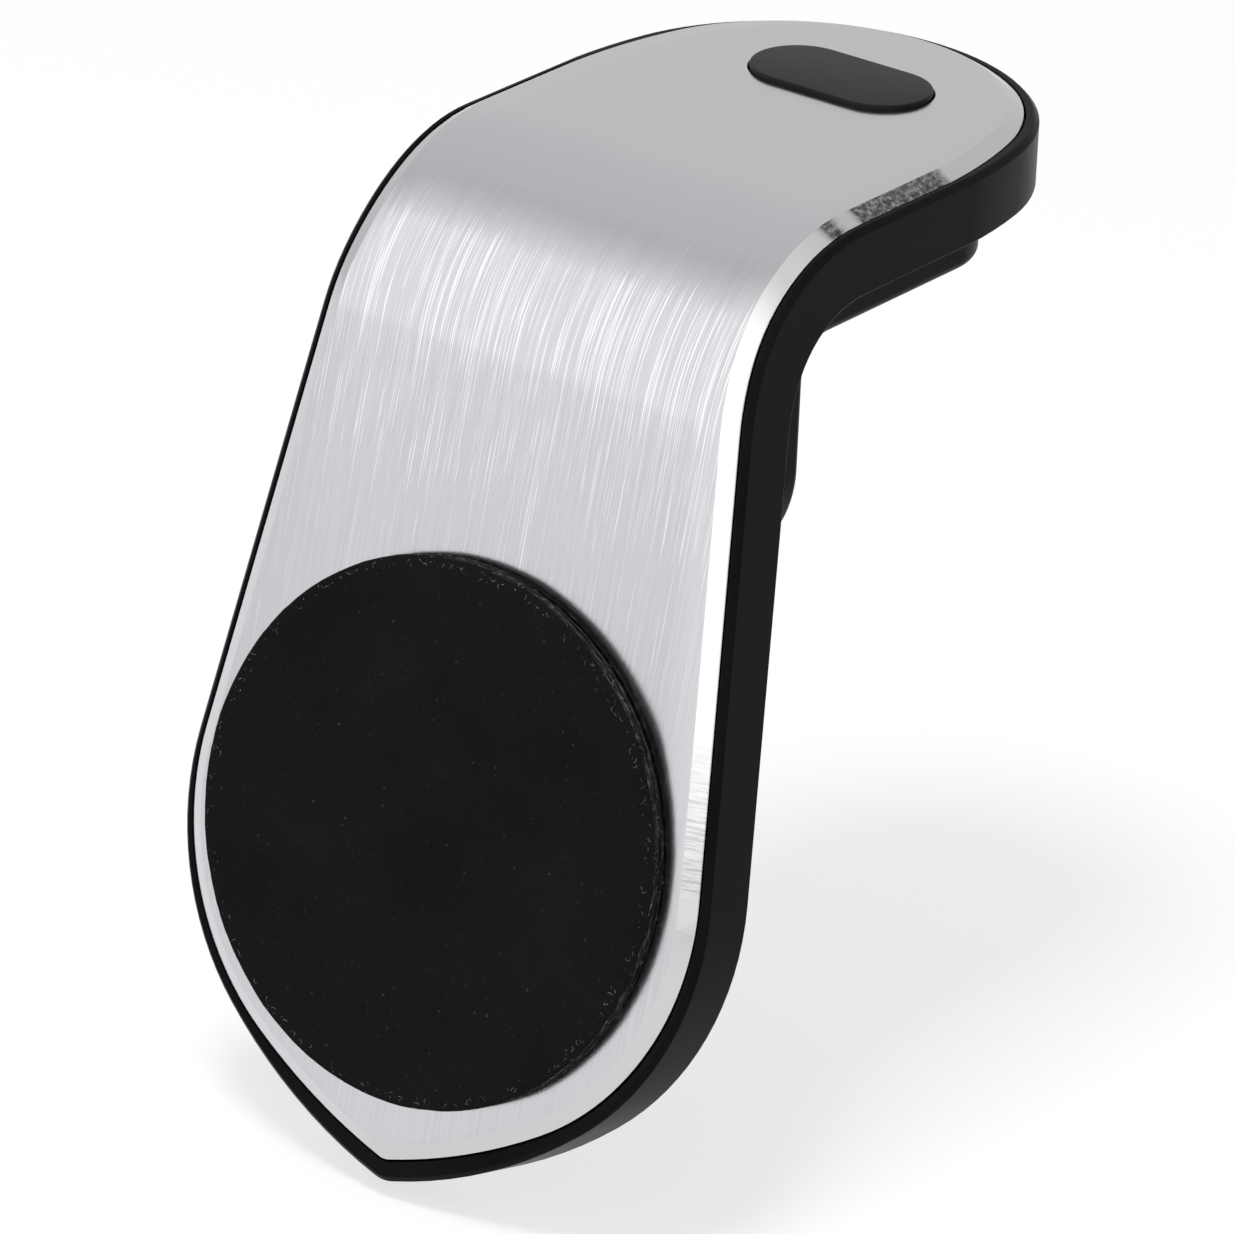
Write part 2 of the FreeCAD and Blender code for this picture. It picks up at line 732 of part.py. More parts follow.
jawCorners = cornerCutter("jaw_corners", dim("jawRound"), jawEnd, 0, "y")
tailCorners = cornerCutter("tail_corners", dim("tailRound"), tailRear, tailEnd, "z")
leverPlan = cutAll("lever_plan", lever, [jawCorners, tailCorners])
leverSoft = doc.addObject("Part::Fillet", "lever_soft")
leverSoft.Base = leverPlan
soft = dim("clipSoft")
leverSoft.Edges = [(i + 1, soft, soft) for i, e in enumerate(leverPlan.Shape.Edges) if onSkin(e)]
doc.recompute()
leverCut = cutAll("lever_cut", leverSoft, [windowBox, bore])
ribs = []
for k in range(4):
    ribs.append(alongX(f"tail_rib_{k}", 0.35, -8.0, 8.0, V(0, tailRear - 0.05, tailEnd + 3.6 + 1.4 * k)))
clip = fuseAll("clip_lever", [leverCut] + ribs)
keep(clip, "clip_lever")

jawGrip = strip("jaw_grip", 17.0, 0.25, 0.25, 1.5, 1, 10.6, -7.0, jawTop)
keep(jawGrip, "jaw_grip")

# ---------------------------------------------------------------- hinge hardware
pinRod = alongX("pin_rod", "Dimensions.pinRadius", -clipHalf - 0.4, clipHalf + 0.9, pinAt)
pinHead = alongX("pin_head", 1.5, -clipHalf - 0.6, -clipHalf - 0.05, pinAt)
groove = alongX("pin_groove_out", 1.2, clipHalf + 0.1, clipHalf + 0.55, pinAt)
grooveCore = alongX("pin_groove_core", 0.55, clipHalf, clipHalf + 0.7, pinAt)
ring = cutAll("pin_groove", groove, [grooveCore])
hingePin = cutAll("hinge_pin", fuseAll("pin_blank", [pinRod, pinHead]), [ring])
keep(hingePin, "hinge_pin")

clipDisc = alongX("ring_disc", 1.6, clipHalf + 0.13, clipHalf + 0.5, pinAt)
clipBore = alongX("ring_bore", 0.57, clipHalf, clipHalf + 1, pinAt)
clipMouth = doc.addObject("Part::Box", "ring_mouth")
clipMouth.Length = 1
clipMouth.Width = 0.9
clipMouth.Height = 3
clipMouth.Placement = FreeCAD.Placement(V(clipHalf, pinAt.y - 0.45, pinAt.z - 3), FreeCAD.Rotation())
retainer = cutAll("pin_ring", clipDisc, [clipBore, clipMouth])
keep(retainer, "pin_ring")

washerSet = []
for side in (-1, 1):
    mid = side * (dim("lugTo") + dim("knuckleFrom")) / 2
    disc = alongX(f"washer_disc_{side + 1}", 1.9, mid - 0.1, mid + 0.1, pinAt)
    hole = alongX(f"washer_hole_{side + 1}", 0.85, mid - 1, mid + 1, pinAt)
    washerSet.append(cutAll(f"washer_{side + 1}", disc, [hole]))
washers = doc.addObject("Part::Compound", "hinge_washers")
washers.Links = washerSet
keep(washers, "hinge_washers")

sleeveRod = alongX("sleeve_rod", 1.15, -7.8, 7.8, pinAt)
sleeveBore = alongX("sleeve_bore", 0.85, -9, 9, pinAt)
sleeve = cutAll("spring_sleeve", sleeveRod, [sleeveBore])
keep(sleeve, "spring_sleeve")


# ---------------------------------------------------------------- torsion spring
def springShape():
    """Wound wire about the pin, one leg on the cover and one on the tail."""
    mean = dim("coilRadius")
    wire = dim("wireRadius")
    pitch = dim("coilPitch")
    coverLeg = V(-0.85, -0.527, 0).normalize()
    start = math.atan2(coverLeg.x, -coverLeg.y)
    tailLeg = math.radians(194.4)
    turns = 5 + ((tailLeg - start) % (2 * math.pi)) / (2 * math.pi)
    height = turns * pitch
    slope = pitch / (2 * math.pi * mean)
    helix = Part.makeHelix(pitch, height, mean)
    endAngle = turns * 2 * math.pi
    first = V(mean, 0, 0)
    into = V(0, 1, slope).normalize()
    last = V(mean * math.cos(endAngle), mean * math.sin(endAngle), height)
    away = V(-math.sin(endAngle), math.cos(endAngle), slope).normalize()
    legOne = Part.makeLine(first - into * 7.2, first)
    legTwo = Part.makeLine(last, last + away * 8.9)
    path = Part.Wire([legOne] + helix.Edges + [legTwo])
    ring = Part.makeCircle(wire, first - into * 7.2, into)
    coil = path.makePipeShell([Part.Wire(ring)], True, True)
    x = V(0, math.cos(start), math.sin(start))
    y = V(0, -math.sin(start), math.cos(start))
    turnTo = FreeCAD.Rotation(x, y, V(1, 0, 0), "XYZ")
    return coil, FreeCAD.Placement(V(-height / 2, pinAt.y, pinAt.z), turnTo)


spring = doc.addObject("Part::Feature", "clip_spring")
coil, coilPlace = springShape()
spring.Shape = coil
spring.Placement = coilPlace
keep(spring, "clip_spring")

# ---------------------------------------------------------------- checks and files
doc.recompute()
for obj in doc.Objects:
    if "Invalid" in obj.State or "Error" in obj.State:
        raise RuntimeError(f"{obj.Name} is {obj.State}")
for sub in subParts:
    shape = sub.Shape
    if shape.isNull() or not shape.isValid() or shape.Volume <= 0:
        raise RuntimeError(f"{sub.Label} has a bad shape")
    shape.exportStep(f"parts/{sub.Label}.step")
    box = shape.BoundBox
    spans = " ".join(f"{v:.2f}" for v in (box.XMin, box.XMax, box.YMin, box.YMax, box.ZMin, box.ZMax))
    print(f"{sub.Label}: {len(shape.Solids)} solid(s), {shape.Volume:.2f} mm3, {spans}")
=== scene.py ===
import math
import bpy
import bmesh
from mathutils import Vector, Matrix, noise


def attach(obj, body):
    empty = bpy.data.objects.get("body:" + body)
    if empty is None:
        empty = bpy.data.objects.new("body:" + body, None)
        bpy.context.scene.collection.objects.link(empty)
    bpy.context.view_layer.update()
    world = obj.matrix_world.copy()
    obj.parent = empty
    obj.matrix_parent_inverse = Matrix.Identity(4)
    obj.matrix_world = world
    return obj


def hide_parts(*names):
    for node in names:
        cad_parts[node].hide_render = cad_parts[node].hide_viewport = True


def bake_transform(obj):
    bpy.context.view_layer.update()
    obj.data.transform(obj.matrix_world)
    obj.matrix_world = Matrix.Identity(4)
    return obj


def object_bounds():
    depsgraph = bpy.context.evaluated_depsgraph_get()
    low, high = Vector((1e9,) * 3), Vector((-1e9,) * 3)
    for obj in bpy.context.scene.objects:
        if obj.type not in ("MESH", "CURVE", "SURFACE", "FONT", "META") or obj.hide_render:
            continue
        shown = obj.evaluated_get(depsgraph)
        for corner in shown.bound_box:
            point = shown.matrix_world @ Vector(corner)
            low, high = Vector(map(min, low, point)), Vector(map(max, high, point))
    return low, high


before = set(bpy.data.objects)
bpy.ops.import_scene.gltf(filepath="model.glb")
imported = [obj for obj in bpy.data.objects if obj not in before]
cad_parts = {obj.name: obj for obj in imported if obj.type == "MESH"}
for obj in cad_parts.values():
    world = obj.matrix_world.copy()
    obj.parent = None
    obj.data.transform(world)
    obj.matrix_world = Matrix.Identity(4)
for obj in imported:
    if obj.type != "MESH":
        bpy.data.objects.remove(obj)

# Vent mount for a phone: a brushed plate bent over a black tray, a round magnetic pad,
# a rubber thumb pad on the head, and a sprung peg clip under the bend.

mm = 0.001
cadLow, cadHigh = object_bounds()

# the bent arm that every layer of the body follows, in millimetres
arm = {
    "bendRadius": 13.5,            # at the foot of the plate's bevel
    "bendTurn": math.radians(76.26),
    "longArm": 53.16,
    "headEnd": 19.85,
    "headFrom": -1.5,
    "headSide": 40.0,
    "neckHalf": 15.5,
    "bendY": -10.0,
    "topZ": 6.0,
    "tipRound": 1.5,
    "tipArc": 43.0,
    "shoulder": (1.16, 21.32, 19.1),  # across, along, radius
    "taper": math.radians(7.0),
    "hollow": 60.0,
}
armSide = Vector((0, -math.sin(arm["bendTurn"]), math.cos(arm["bendTurn"])))
armDown = Vector((0, -math.cos(arm["bendTurn"]), -math.sin(arm["bendTurn"])))
bendAt = Vector((0, arm["bendY"], arm["topZ"] - arm["bendRadius"]))
tipAt = bendAt + armSide * arm["bendRadius"] + armDown * arm["longArm"]
bendLong = arm["bendRadius"] * arm["bendTurn"]
headShift = arm["longArm"] + bendLong - arm["bendY"]    # Y of a point on the head, to its place along
pinAt = Vector((0, -13.6, -2.9))


def place(x, along, level):
    # across, along from the lower tip round the bend, height out of the face
    if along <= arm["longArm"]:
        p = tipAt - armDown * along + armSide * level
    elif along <= arm["longArm"] + bendLong:
        turn = arm["bendTurn"] - (along - arm["longArm"]) / arm["bendRadius"]
        out = Vector((0, -math.sin(turn), math.cos(turn)))
        p = bendAt + out * (arm["bendRadius"] + level)
    else:
        ahead = along - arm["longArm"] - bendLong
        p = Vector((0, arm["bendY"] + ahead, arm["topZ"] + level))
    return Vector((x, p.y, p.z)) * mm


def unroll(co):
    # the reverse of place, for maps that follow the sheet round the bend
    p = co / mm - bendAt
    x = p.x
    p.x = 0
    down = p.dot(armDown)
    if p.y >= 0:
        return x, arm["longArm"] + bendLong + p.y
    if down >= 0:
        return x, arm["longArm"] - down
    turn = math.atan2(-p.y, p.z)
    return x, arm["longArm"] + arm["bendRadius"] * (arm["bendTurn"] - turn)


def arcPoints(cx, cy, r, start, end, steps, sign=1):
    points = []
    for k in range(steps + 1):
        a = start + (end - start) * k / steps
        n = Vector((math.cos(a), math.sin(a))) * sign
        points.append((cx + r * math.cos(a), cy + r * math.sin(a), n.x, n.y))
    return points


def halfOutline():
    # right half of the plate's outline from tip to head: across, along, normal
    sx, sy, sr = arm["shoulder"]
    gap = arm["tipArc"] - sr
    k = (arm["tipArc"] ** 2 - gap ** 2 + sx ** 2 + sy ** 2) / (2 * sy)
    slope = sx / sy
    a, b, c = 1 + slope ** 2, -2 * k * slope, k ** 2 - arm["tipArc"] ** 2
    tx = (-b - math.sqrt(b ** 2 - 4 * a * c)) / (2 * a)
    ty = k - slope * tx
    ry = ty - math.sqrt((arm["tipArc"] - arm["tipRound"]) ** 2 - tx ** 2)
    tipTurn = math.atan2(-tx, ty - ry)
    join = math.atan2(sy - ty, sx - tx)
    taper = arm["taper"]
    down = math.radians(-90)
    points = arcPoints(0, ry, arm["tipRound"], down, down + tipTurn, 5)
    points += arcPoints(tx, ty, arm["tipArc"], down + tipTurn, join, 12)[1:]
    points += arcPoints(sx, sy, sr, join, taper, 26)[1:]
    ex, ey = points[-1][:2]
    hx = arm["neckHalf"] + arm["hollow"] * (1 - math.cos(taper))
    rise = (ex - hx) / math.tan(taper)
    nx, ny = math.cos(taper), math.sin(taper)
    bends = [arm["longArm"] - ey + 0.4 * j for j in range(20)]
    for d in sorted([2.0 * j for j in range(1, int(rise / 2))] + bends + [rise]):
        if d <= rise:
            points.append((ex - (ex - hx) * d / rise, ey + d, nx, ny))
    hy = ey + rise + arm["hollow"] * math.sin(taper)
    cx = arm["neckHalf"] + arm["hollow"]
    points += arcPoints(cx, hy, arm["hollow"], math.pi + taper, math.pi, 24, -1)[1:]
    flat = []
    for x, y, nx, ny in points:
        if y > arm["longArm"]:        # the sides were trimmed square to the long arm
            lift = min(0.9999 * math.sin(arm["bendTurn"]), (y - arm["longArm"]) / arm["bendRadius"])
            y = arm["longArm"] + arm["bendRadius"] * math.asin(lift)
        flat.append((x, y, nx, ny))
    # the head ends in an arch: long arcs at the sides, a round arc over the end
    wide = arm["neckHalf"] * 1.0025
    span = arm["headEnd"] - arm["headFrom"]
    r = (2 * arm["headSide"] * wide - wide ** 2 - span ** 2) / (2 * (arm["headSide"] - span))
    endY = arm["headEnd"] - r
    turnBy = math.atan2(endY - arm["headFrom"], arm["headSide"] - wide)
    sideX = wide - arm["headSide"]
    cross = math.acos((arm["neckHalf"] - sideX) / arm["headSide"])
    last = flat[-1][1]
    sideStart = headShift + arm["headFrom"] + arm["headSide"] * math.sin(cross)
    for j in range(1, 11):
        flat.append((arm["neckHalf"], last + (sideStart - last) * j / 10, 1.0, 0.0))
    flat += arcPoints(sideX, headShift + arm["headFrom"], arm["headSide"], cross, turnBy, 10)[1:]
    flat += arcPoints(0, headShift + endY, r, turnBy, math.pi / 2, 40)[1:]
    return flat


half = halfOutline()


def ring(grow, level):
    # closed loop of points: up the right side, then back down the left
    right = [(x + nx * grow, y + ny * grow) for x, y, nx, ny in half]
    right[0], right[-1] = (0.0, right[0][1]), (0.0, right[-1][1])
    left = [(-x, y) for x, y in right[-2:0:-1]]
    return [place(x, y, level) for x, y in right + left]


def addObject(name, data):
    obj = bpy.data.objects.new(name, data)
    bpy.context.scene.collection.objects.link(obj)
    return obj


def newPiece(name, mesh, body, replaces=()):
    obj = addObject(name, mesh)
    if replaces:
        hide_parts(*replaces)
    if body:
        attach(obj, body)
    return obj


def finishMesh(mesh, angle=28):
    mesh.validate()
    mesh.polygons.foreach_set("use_smooth", [True] * len(mesh.polygons))
    mesh.set_sharp_from_angle(angle=math.radians(angle))
    mesh.update()


def meshFrom(bm, name):
    # a mesh from what was built, with its faces turned outward
    bmesh.ops.recalc_face_normals(bm, faces=bm.faces)
    mesh = bpy.data.meshes.new(name)
    bm.to_mesh(mesh)
    bm.free()
    return mesh


def skin(bm, loops):
    # faces between loops of equal length, with both ends filled
    count = len(loops[0])
    for a, b in zip(loops, loops[1:]):
        for k in range(count):
            n = (k + 1) % count
            bm.faces.new((a[k], a[n], b[n], b[k]))
    bm.faces.new(loops[0][::-1])
    bm.faces.new(loops[-1])


def mapSheet(mesh):
    # a flat map in millimetres: U across the arm, V along it round the bend
    layer = mesh.uv_layers.new(name="sheet")
    for loop in mesh.loops:
        x, along = unroll(mesh.vertices[loop.vertex_index].co)
        layer.data[loop.index].uv = (x / 100 + 0.5, along / 100)


def layeredSheet(name, profile, columns=14):
    # closed solid from loops of (grow, level, material); first and last are filled
    bm = bmesh.new()
    loops = [[bm.verts.new(p) for p in ring(grow, level)] for grow, level, _ in profile]
    count = len(loops[0])
    for i in range(len(loops) - 1):
        a, b = loops[i], loops[i + 1]
        for k in range(count):
            n = (k + 1) % count
            face = bm.faces.new((a[k], b[k], b[n], a[n]))
            face.material_index = profile[i + 1][2]
    for loop, flip, entry in ((loops[0], False, profile[0]), (loops[-1], True, profile[-1])):
        rows = [[loop[0]]]
        top = len(half) - 1
        for k in range(1, top):
            r, l = loop[k], loop[count - k]
            middle = [bm.verts.new(l.co.lerp(r.co, j / columns)) for j in range(1, columns)]
            rows.append([l] + middle + [r])
        rows.append([loop[top]])
        for lower, upper in zip(rows, rows[1:]):
            for j in range(max(len(lower), len(upper)) - 1):
                corner = []
                for row, order in ((lower, (j, j + 1)), (upper, (j + 1, j))):
                    corner += [row[0]] if len(row) == 1 else [row[o] for o in order]
                face = bm.faces.new(corner[::-1] if flip else corner)
                face.material_index = entry[2]
    return meshFrom(bm, name)


def lathe(name, profile, at, axis, steps=96, wobble=None):
    # profile of (radius, height) turned about an axis; zero radius makes a pole
    bm = bmesh.new()
    turn = Vector((0, 0, 1)).rotation_difference(axis).to_matrix()
    rings = []
    for r, height in profile:
        if r == 0:
            rings.append([bm.verts.new((at + turn @ Vector((0, 0, height))) * mm)])
            continue
        row = []
        for k in range(steps):
            a = 2 * math.pi * k / steps
            rr = r + (wobble(a, height) if wobble else 0)
            p = at + turn @ Vector((rr * math.cos(a), rr * math.sin(a), height))
            row.append(bm.verts.new(p * mm))
        rings.append(row)
    for a, b in zip(rings, rings[1:]):
        for k in range(steps):
            n = (k + 1) % steps
            corners = []
            for row, order in ((a, (k, n)), (b, (n, k))):
                corners += [row[0]] if len(row) == 1 else [row[o] for o in order]
            bm.faces.new(corners)
    return meshFrom(bm, name)


def pillLoop(long, wide, steps=24):
    # points of a pill lying across the arm, with their normals
    r = wide / 2
    points = []
    for side in (1, -1):
        for k in range(steps + 1):
            a = math.radians(-90 * side) + math.pi * k / steps
            n = Vector((math.cos(a), math.sin(a)))
            points.append((Vector((side * (long / 2 - r), 0)) + n * r, n))
    return points


def pillSolid(name, long, wide, profile, centre):
    bm = bmesh.new()
    loops = []
    for grow, z in profile:
        row = []
        for p, n in pillLoop(long, wide):
            q = p + n * grow
            row.append(bm.verts.new(Vector((centre[0] + q.x, centre[1] + q.y, z)) * mm))
        loops.append(row)
    skin(bm, loops)
    return meshFrom(bm, name)


def applied(obj):
    # the object's mesh with its modifiers applied
    bpy.context.view_layer.update()
    return bpy.data.meshes.new_from_object(obj.evaluated_get(bpy.context.evaluated_depsgraph_get()))


def cutWith(obj, *cutters):
    for cutter in cutters:
        tool = addObject("cutter", cutter)
        mod = obj.modifiers.new("cut", "BOOLEAN")
        mod.operation = "DIFFERENCE"
        mod.solver = "EXACT"
        mod.object = tool
        result = applied(obj)
        obj.modifiers.remove(mod)
        obj.data = result
        bpy.data.objects.remove(tool)


weldGap = 0.002
flatAngle = 0.5
softenAngle = 32


def cadCopy(node, body, material, bevel):
    # the CAD piece with its triangles joined, soft edges and smooth shading
    bm = bmesh.new()
    bm.from_mesh(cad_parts[node].data)
    bmesh.ops.remove_doubles(bm, verts=bm.verts, dist=weldGap * mm)
    bmesh.ops.dissolve_limit(bm, angle_limit=math.radians(flatAngle), verts=bm.verts, edges=bm.edges)
    mesh = meshFrom(bm, node + "Finish")
    finishMesh(mesh)
    obj = newPiece(node + "Finish", mesh, body, (node,))
    mesh.materials.clear()
    mesh.materials.append(material)
    if bevel:
        soft = obj.modifiers.new("soft", "BEVEL")
        soft.width = bevel * mm
        soft.segments = 2
        soft.limit_method = "ANGLE"
        soft.angle_limit = math.radians(softenAngle)
        soft.use_clamp_overlap = True
        even = obj.modifiers.new("even", "WEIGHTED_NORMAL")
        even.keep_sharp = True


# materials
def linear(hexColour):
    # sRGB hex to linear RGBA
    parts = [int(hexColour[i:i + 2], 16) / 255 for i in (1, 3, 5)]
    return tuple(c / 12.92 if c <= 0.04045 else ((c + 0.055) / 1.055) ** 2.4 for c in parts) + (1.0,)


def addNode(tree, kind, settings=(), links=()):
    node = tree.nodes.new(kind)
    for key, value in dict(settings).items():
        if isinstance(key, str) and hasattr(node, key):
            setattr(node, key, value)
        else:
            node.inputs[key].default_value = value
    for key, socket in dict(links).items():
        tree.links.new(socket, node.inputs[key])
    return node


def startMaterial(name, shader):
    material = bpy.data.materials.new(name)
    material.use_nodes = True
    tree = material.node_tree
    tree.nodes.clear()
    body = addNode(tree, "ShaderNodeBsdfPrincipled", shader)
    addNode(tree, "ShaderNodeOutputMaterial", links={"Surface": body.outputs[0]})
    return material, tree, body


def ramp(tree, source, stops):
    node = addNode(tree, "ShaderNodeValToRGB", links={0: source})
    elements = node.color_ramp.elements
    while len(elements) < len(stops):
        elements.new(0.5)
    for element, (position, colour) in zip(elements, stops):
        element.position = position
        element.color = colour
    return node


def grey(value):
    return (value, value, value, 1.0)


def addBump(tree, body, height, strength, deep):
    # relief from a height pattern, its depth in millimetres
    bump = addNode(tree, "ShaderNodeBump", {"Strength": strength, "Distance": deep * mm},
                   {"Height": height.outputs[0]})
    tree.links.new(bump.outputs[0], body.inputs["Normal"])


# brushed aluminium: sheet brushed along its length, with fine straight scratches raised in the bump and
# painted glints:
# the scratch lines are painted near white in the colour where they catch the light; the painted glints are
# densest low in the bend, thin out down the long arm and are gone on the head, where only a faint grain is
# left
def makeBrushedAluminium():
    # how wide and how long each kind of line is, in millimetres
    grainSize = (0.07, 11.0)
    scratchSize = (0.085, 8.5)
    longScratchSize = (0.12, 25.0)
    material, tree, body = startMaterial("brushedAluminium", {
        "Metallic": 1.0, "Anisotropic": 0.4, "Roughness": 0.22})
    sheet = addNode(tree, "ShaderNodeUVMap", {"uv_map": "sheet"})
    split = addNode(tree, "ShaderNodeSeparateXYZ", links={0: sheet.outputs[0]})

    def lineNoise(size, shift, detail):
        scale = (100 / size[0], 100 / size[1], 1)
        stretch = addNode(tree, "ShaderNodeMapping", {"Scale": scale, "Location": shift},
                          {"Vector": sheet.outputs[0]})
        return addNode(tree, "ShaderNodeTexNoise", {"Scale": 1.0, "Detail": detail, "Roughness": 0.6},
                       {"Vector": stretch.outputs[0]}).outputs[0]

    # how dense the painted scratch glints are at each place along the arm
    paintedGlintCrowd = ramp(tree, split.outputs["Y"], [(0.05, grey(0.3)), (0.28, grey(0.36)), (0.42, grey(0.43)),
                                            (0.5, grey(0.49)), (0.6, grey(0.51)), (0.655, grey(0.1)),
                                            (0.7, grey(0))])
    shownLines = []
    for size, shift, cut in ((scratchSize, (3, 7, 0), 1.06), (longScratchSize, (11, 2, 0), 1.07)):
        noiseOut = lineNoise(size, shift, 2.0)
        both = addNode(tree, "ShaderNodeMath", {"operation": "ADD"}, {0: noiseOut, 1: paintedGlintCrowd.outputs[0]})
        shownLines.append(addNode(tree, "ShaderNodeMapRange", {1: cut, 2: cut + 0.1}, {0: both.outputs[0]}))
    shown = addNode(tree, "ShaderNodeMath", {"operation": "MAXIMUM"},
                    {0: shownLines[0].outputs[0], 1: shownLines[1].outputs[0]})
    grain = lineNoise(grainSize, (0, 0, 0), 4.0)
    fade = ramp(tree, split.outputs["Y"], [(0.62, grey(1)), (0.7, grey(0.12))])
    grainHere = addNode(tree, "ShaderNodeMapRange", {1: 0.3, 2: 0.7, 3: 0.0, 4: 1.0}, {0: grain})
    grainShown = addNode(tree, "ShaderNodeMath", {"operation": "MULTIPLY"},
                         {0: grainHere.outputs[0], 1: fade.outputs[0]})
    base = ramp(tree, grainShown.outputs[0], [(0.0, linear("#D1CFD3")), (1.0, linear("#C2C0C4"))])
    # the scratch lines are painted near white in the base colour: painted glints
    bright = addNode(tree, "ShaderNodeMix", {"data_type": "RGBA", 7: linear("#F6F5F7")},
                     {0: shown.outputs[0], 6: base.outputs[0]})
    tree.links.new(bright.outputs[2], body.inputs["Base Color"])
    rough = addNode(tree, "ShaderNodeMapRange", {3: 0.15, 4: 0.24}, {0: grain})
    tree.links.new(rough.outputs[0], body.inputs["Roughness"])
    height = addNode(tree, "ShaderNodeMath", {"operation": "MULTIPLY_ADD", 1: 0.6},
                     {0: shown.outputs[0], 2: grainShown.outputs[0]})
    addBump(tree, body, height, 0.1, 0.02)
    tangent = addNode(tree, "ShaderNodeTangent", {"direction_type": "UV_MAP", "uv_map": "sheet"})
    tree.links.new(tangent.outputs[0], body.inputs["Tangent"])
    return material


# diamond-cut edge: the same sheet milled bright at an angle, nearly a mirror, with painted reflection and
# painted shade in its colour: brighter on the long arm and the bend, dark mottled runs where the bend meets
# the head, and faint cross marks low on the long arm; only the right side has these, and the left is painted
# a plainer, duller colour
def makeDiamondCut():
    # painted reflection: brighter on the long arm and the bend, painted duller at both ends
    cut = {"bright": 0.85, "dull": 0.6}
    material, tree, body = startMaterial("diamondCutAluminium", {"Metallic": 1.0, "Roughness": 0.1})
    sheet = addNode(tree, "ShaderNodeUVMap", {"uv_map": "sheet"})
    split = addNode(tree, "ShaderNodeSeparateXYZ", links={0: sheet.outputs[0]})
    along = ramp(tree, split.outputs["Y"], [(0.24, grey(cut["dull"])), (0.34, grey(cut["bright"])),
                                            (0.64, grey(cut["bright"])), (0.7, grey(cut["dull"]))])
    # painted shade: the runs below darken the bevel's colour in a mottle
    paintedMottleMap = addNode(tree, "ShaderNodeMapping", {"Scale": (330, 190, 1)}, {"Vector": sheet.outputs[0]})
    paintedMottleNoise = addNode(tree, "ShaderNodeTexNoise", {"Scale": 1.0, "Detail": 4.0, "Roughness": 0.75},
                      {"Vector": paintedMottleMap.outputs[0]})
    paintedMottleTone = ramp(tree, paintedMottleNoise.outputs[0], [(0.4, grey(0.1)), (0.5, grey(0.25)), (0.62, grey(0.6))])
    # a short run and a long one of painted shade, by place along the arm
    paintedRuns = ramp(tree, split.outputs["Y"], [
        (0.683, grey(0)), (0.685, grey(1)), (0.697, grey(1)), (0.7, grey(0)),
        (0.714, grey(0)), (0.717, grey(1)), (0.811, grey(1)), (0.814, grey(0))])
    paintedMottle = addNode(tree, "ShaderNodeMix", {"data_type": "RGBA", 6: grey(1)},
                     {0: paintedRuns.outputs[0], 7: paintedMottleTone.outputs[0]})
    paintedTint = addNode(tree, "ShaderNodeMix", {"data_type": "RGBA", "blend_type": "MULTIPLY", 0: 1.0},
                   {6: along.outputs[0], 7: paintedMottle.outputs[2]})
    marks = addNode(tree, "ShaderNodeMapping", {"Scale": (40, 520, 1)}, {"Vector": sheet.outputs[0]})
    cuts = addNode(tree, "ShaderNodeTexNoise", {"Scale": 1.0, "Detail": 5.0, "Roughness": 0.65},
                   {"Vector": marks.outputs[0]})
    bars = ramp(tree, cuts.outputs[0], [(0.42, grey(0.68)), (0.5, grey(0.95)), (0.62, grey(1.15))])
    low = ramp(tree, split.outputs["Y"], [
        (0.236, grey(0)), (0.24, grey(1)), (0.29, grey(0.7)), (0.345, grey(0))])
    crossed = addNode(tree, "ShaderNodeMix", {"data_type": "RGBA", 6: grey(1)},
                      {0: low.outputs[0], 7: bars.outputs[0]})
    tinted = addNode(tree, "ShaderNodeMix", {"data_type": "RGBA", "blend_type": "MULTIPLY", 0: 1.0},
                     {6: paintedTint.outputs[2], 7: crossed.outputs[2]})
    # the left side keeps the plain sheet colour, which is duller than the right: painted shade
    dull = ramp(tree, split.outputs["X"], [(0.46, grey(0)), (0.5, grey(1))])
    shade = addNode(tree, "ShaderNodeMix", {"data_type": "RGBA", 6: linear("#D1CFD3")},
                    {0: dull.outputs[0], 7: tinted.outputs[2]})
    tree.links.new(shade.outputs[2], body.inputs["Base Color"])
    rough = addNode(tree, "ShaderNodeMapRange", {1: 0.35, 2: 0.7, 3: 0.05, 4: 0.2}, {0: cuts.outputs[0]})
    tree.links.new(rough.outputs[0], body.inputs["Roughness"])
    addBump(tree, body, cuts, 0.12, 0.02)
    return material


# moulded ABS, satin black: spark-eroded tool finish, a very fine even grain with
# slightly shinier rubbed patches
def makeSatinAbs():
    material, tree, body = startMaterial("satinBlackAbs", {
        "IOR": 1.54, "Roughness": 0.36, "Specular IOR Level": 0.035})
    coords = addNode(tree, "ShaderNodeTexCoord")
    grain = addNode(tree, "ShaderNodeTexNoise", {"Scale": 9000.0, "Detail": 3.0, "Roughness": 0.6},
                    {"Vector": coords.outputs["Object"]})
    rub = addNode(tree, "ShaderNodeTexNoise", {"Scale": 130.0, "Detail": 3.0},
                  {"Vector": coords.outputs["Object"]})
    tone = ramp(tree, rub.outputs[0], [(0.3, linear("#070608")), (0.7, linear("#0D0C0E"))])
    tree.links.new(tone.outputs[0], body.inputs["Base Color"])
    rough = addNode(tree, "ShaderNodeMapRange", {3: 0.28, 4: 0.44}, {0: rub.outputs[0]})
    tree.links.new(rough.outputs[0], body.inputs["Roughness"])
    addBump(tree, body, grain, 0.15, 0.02)
    return material


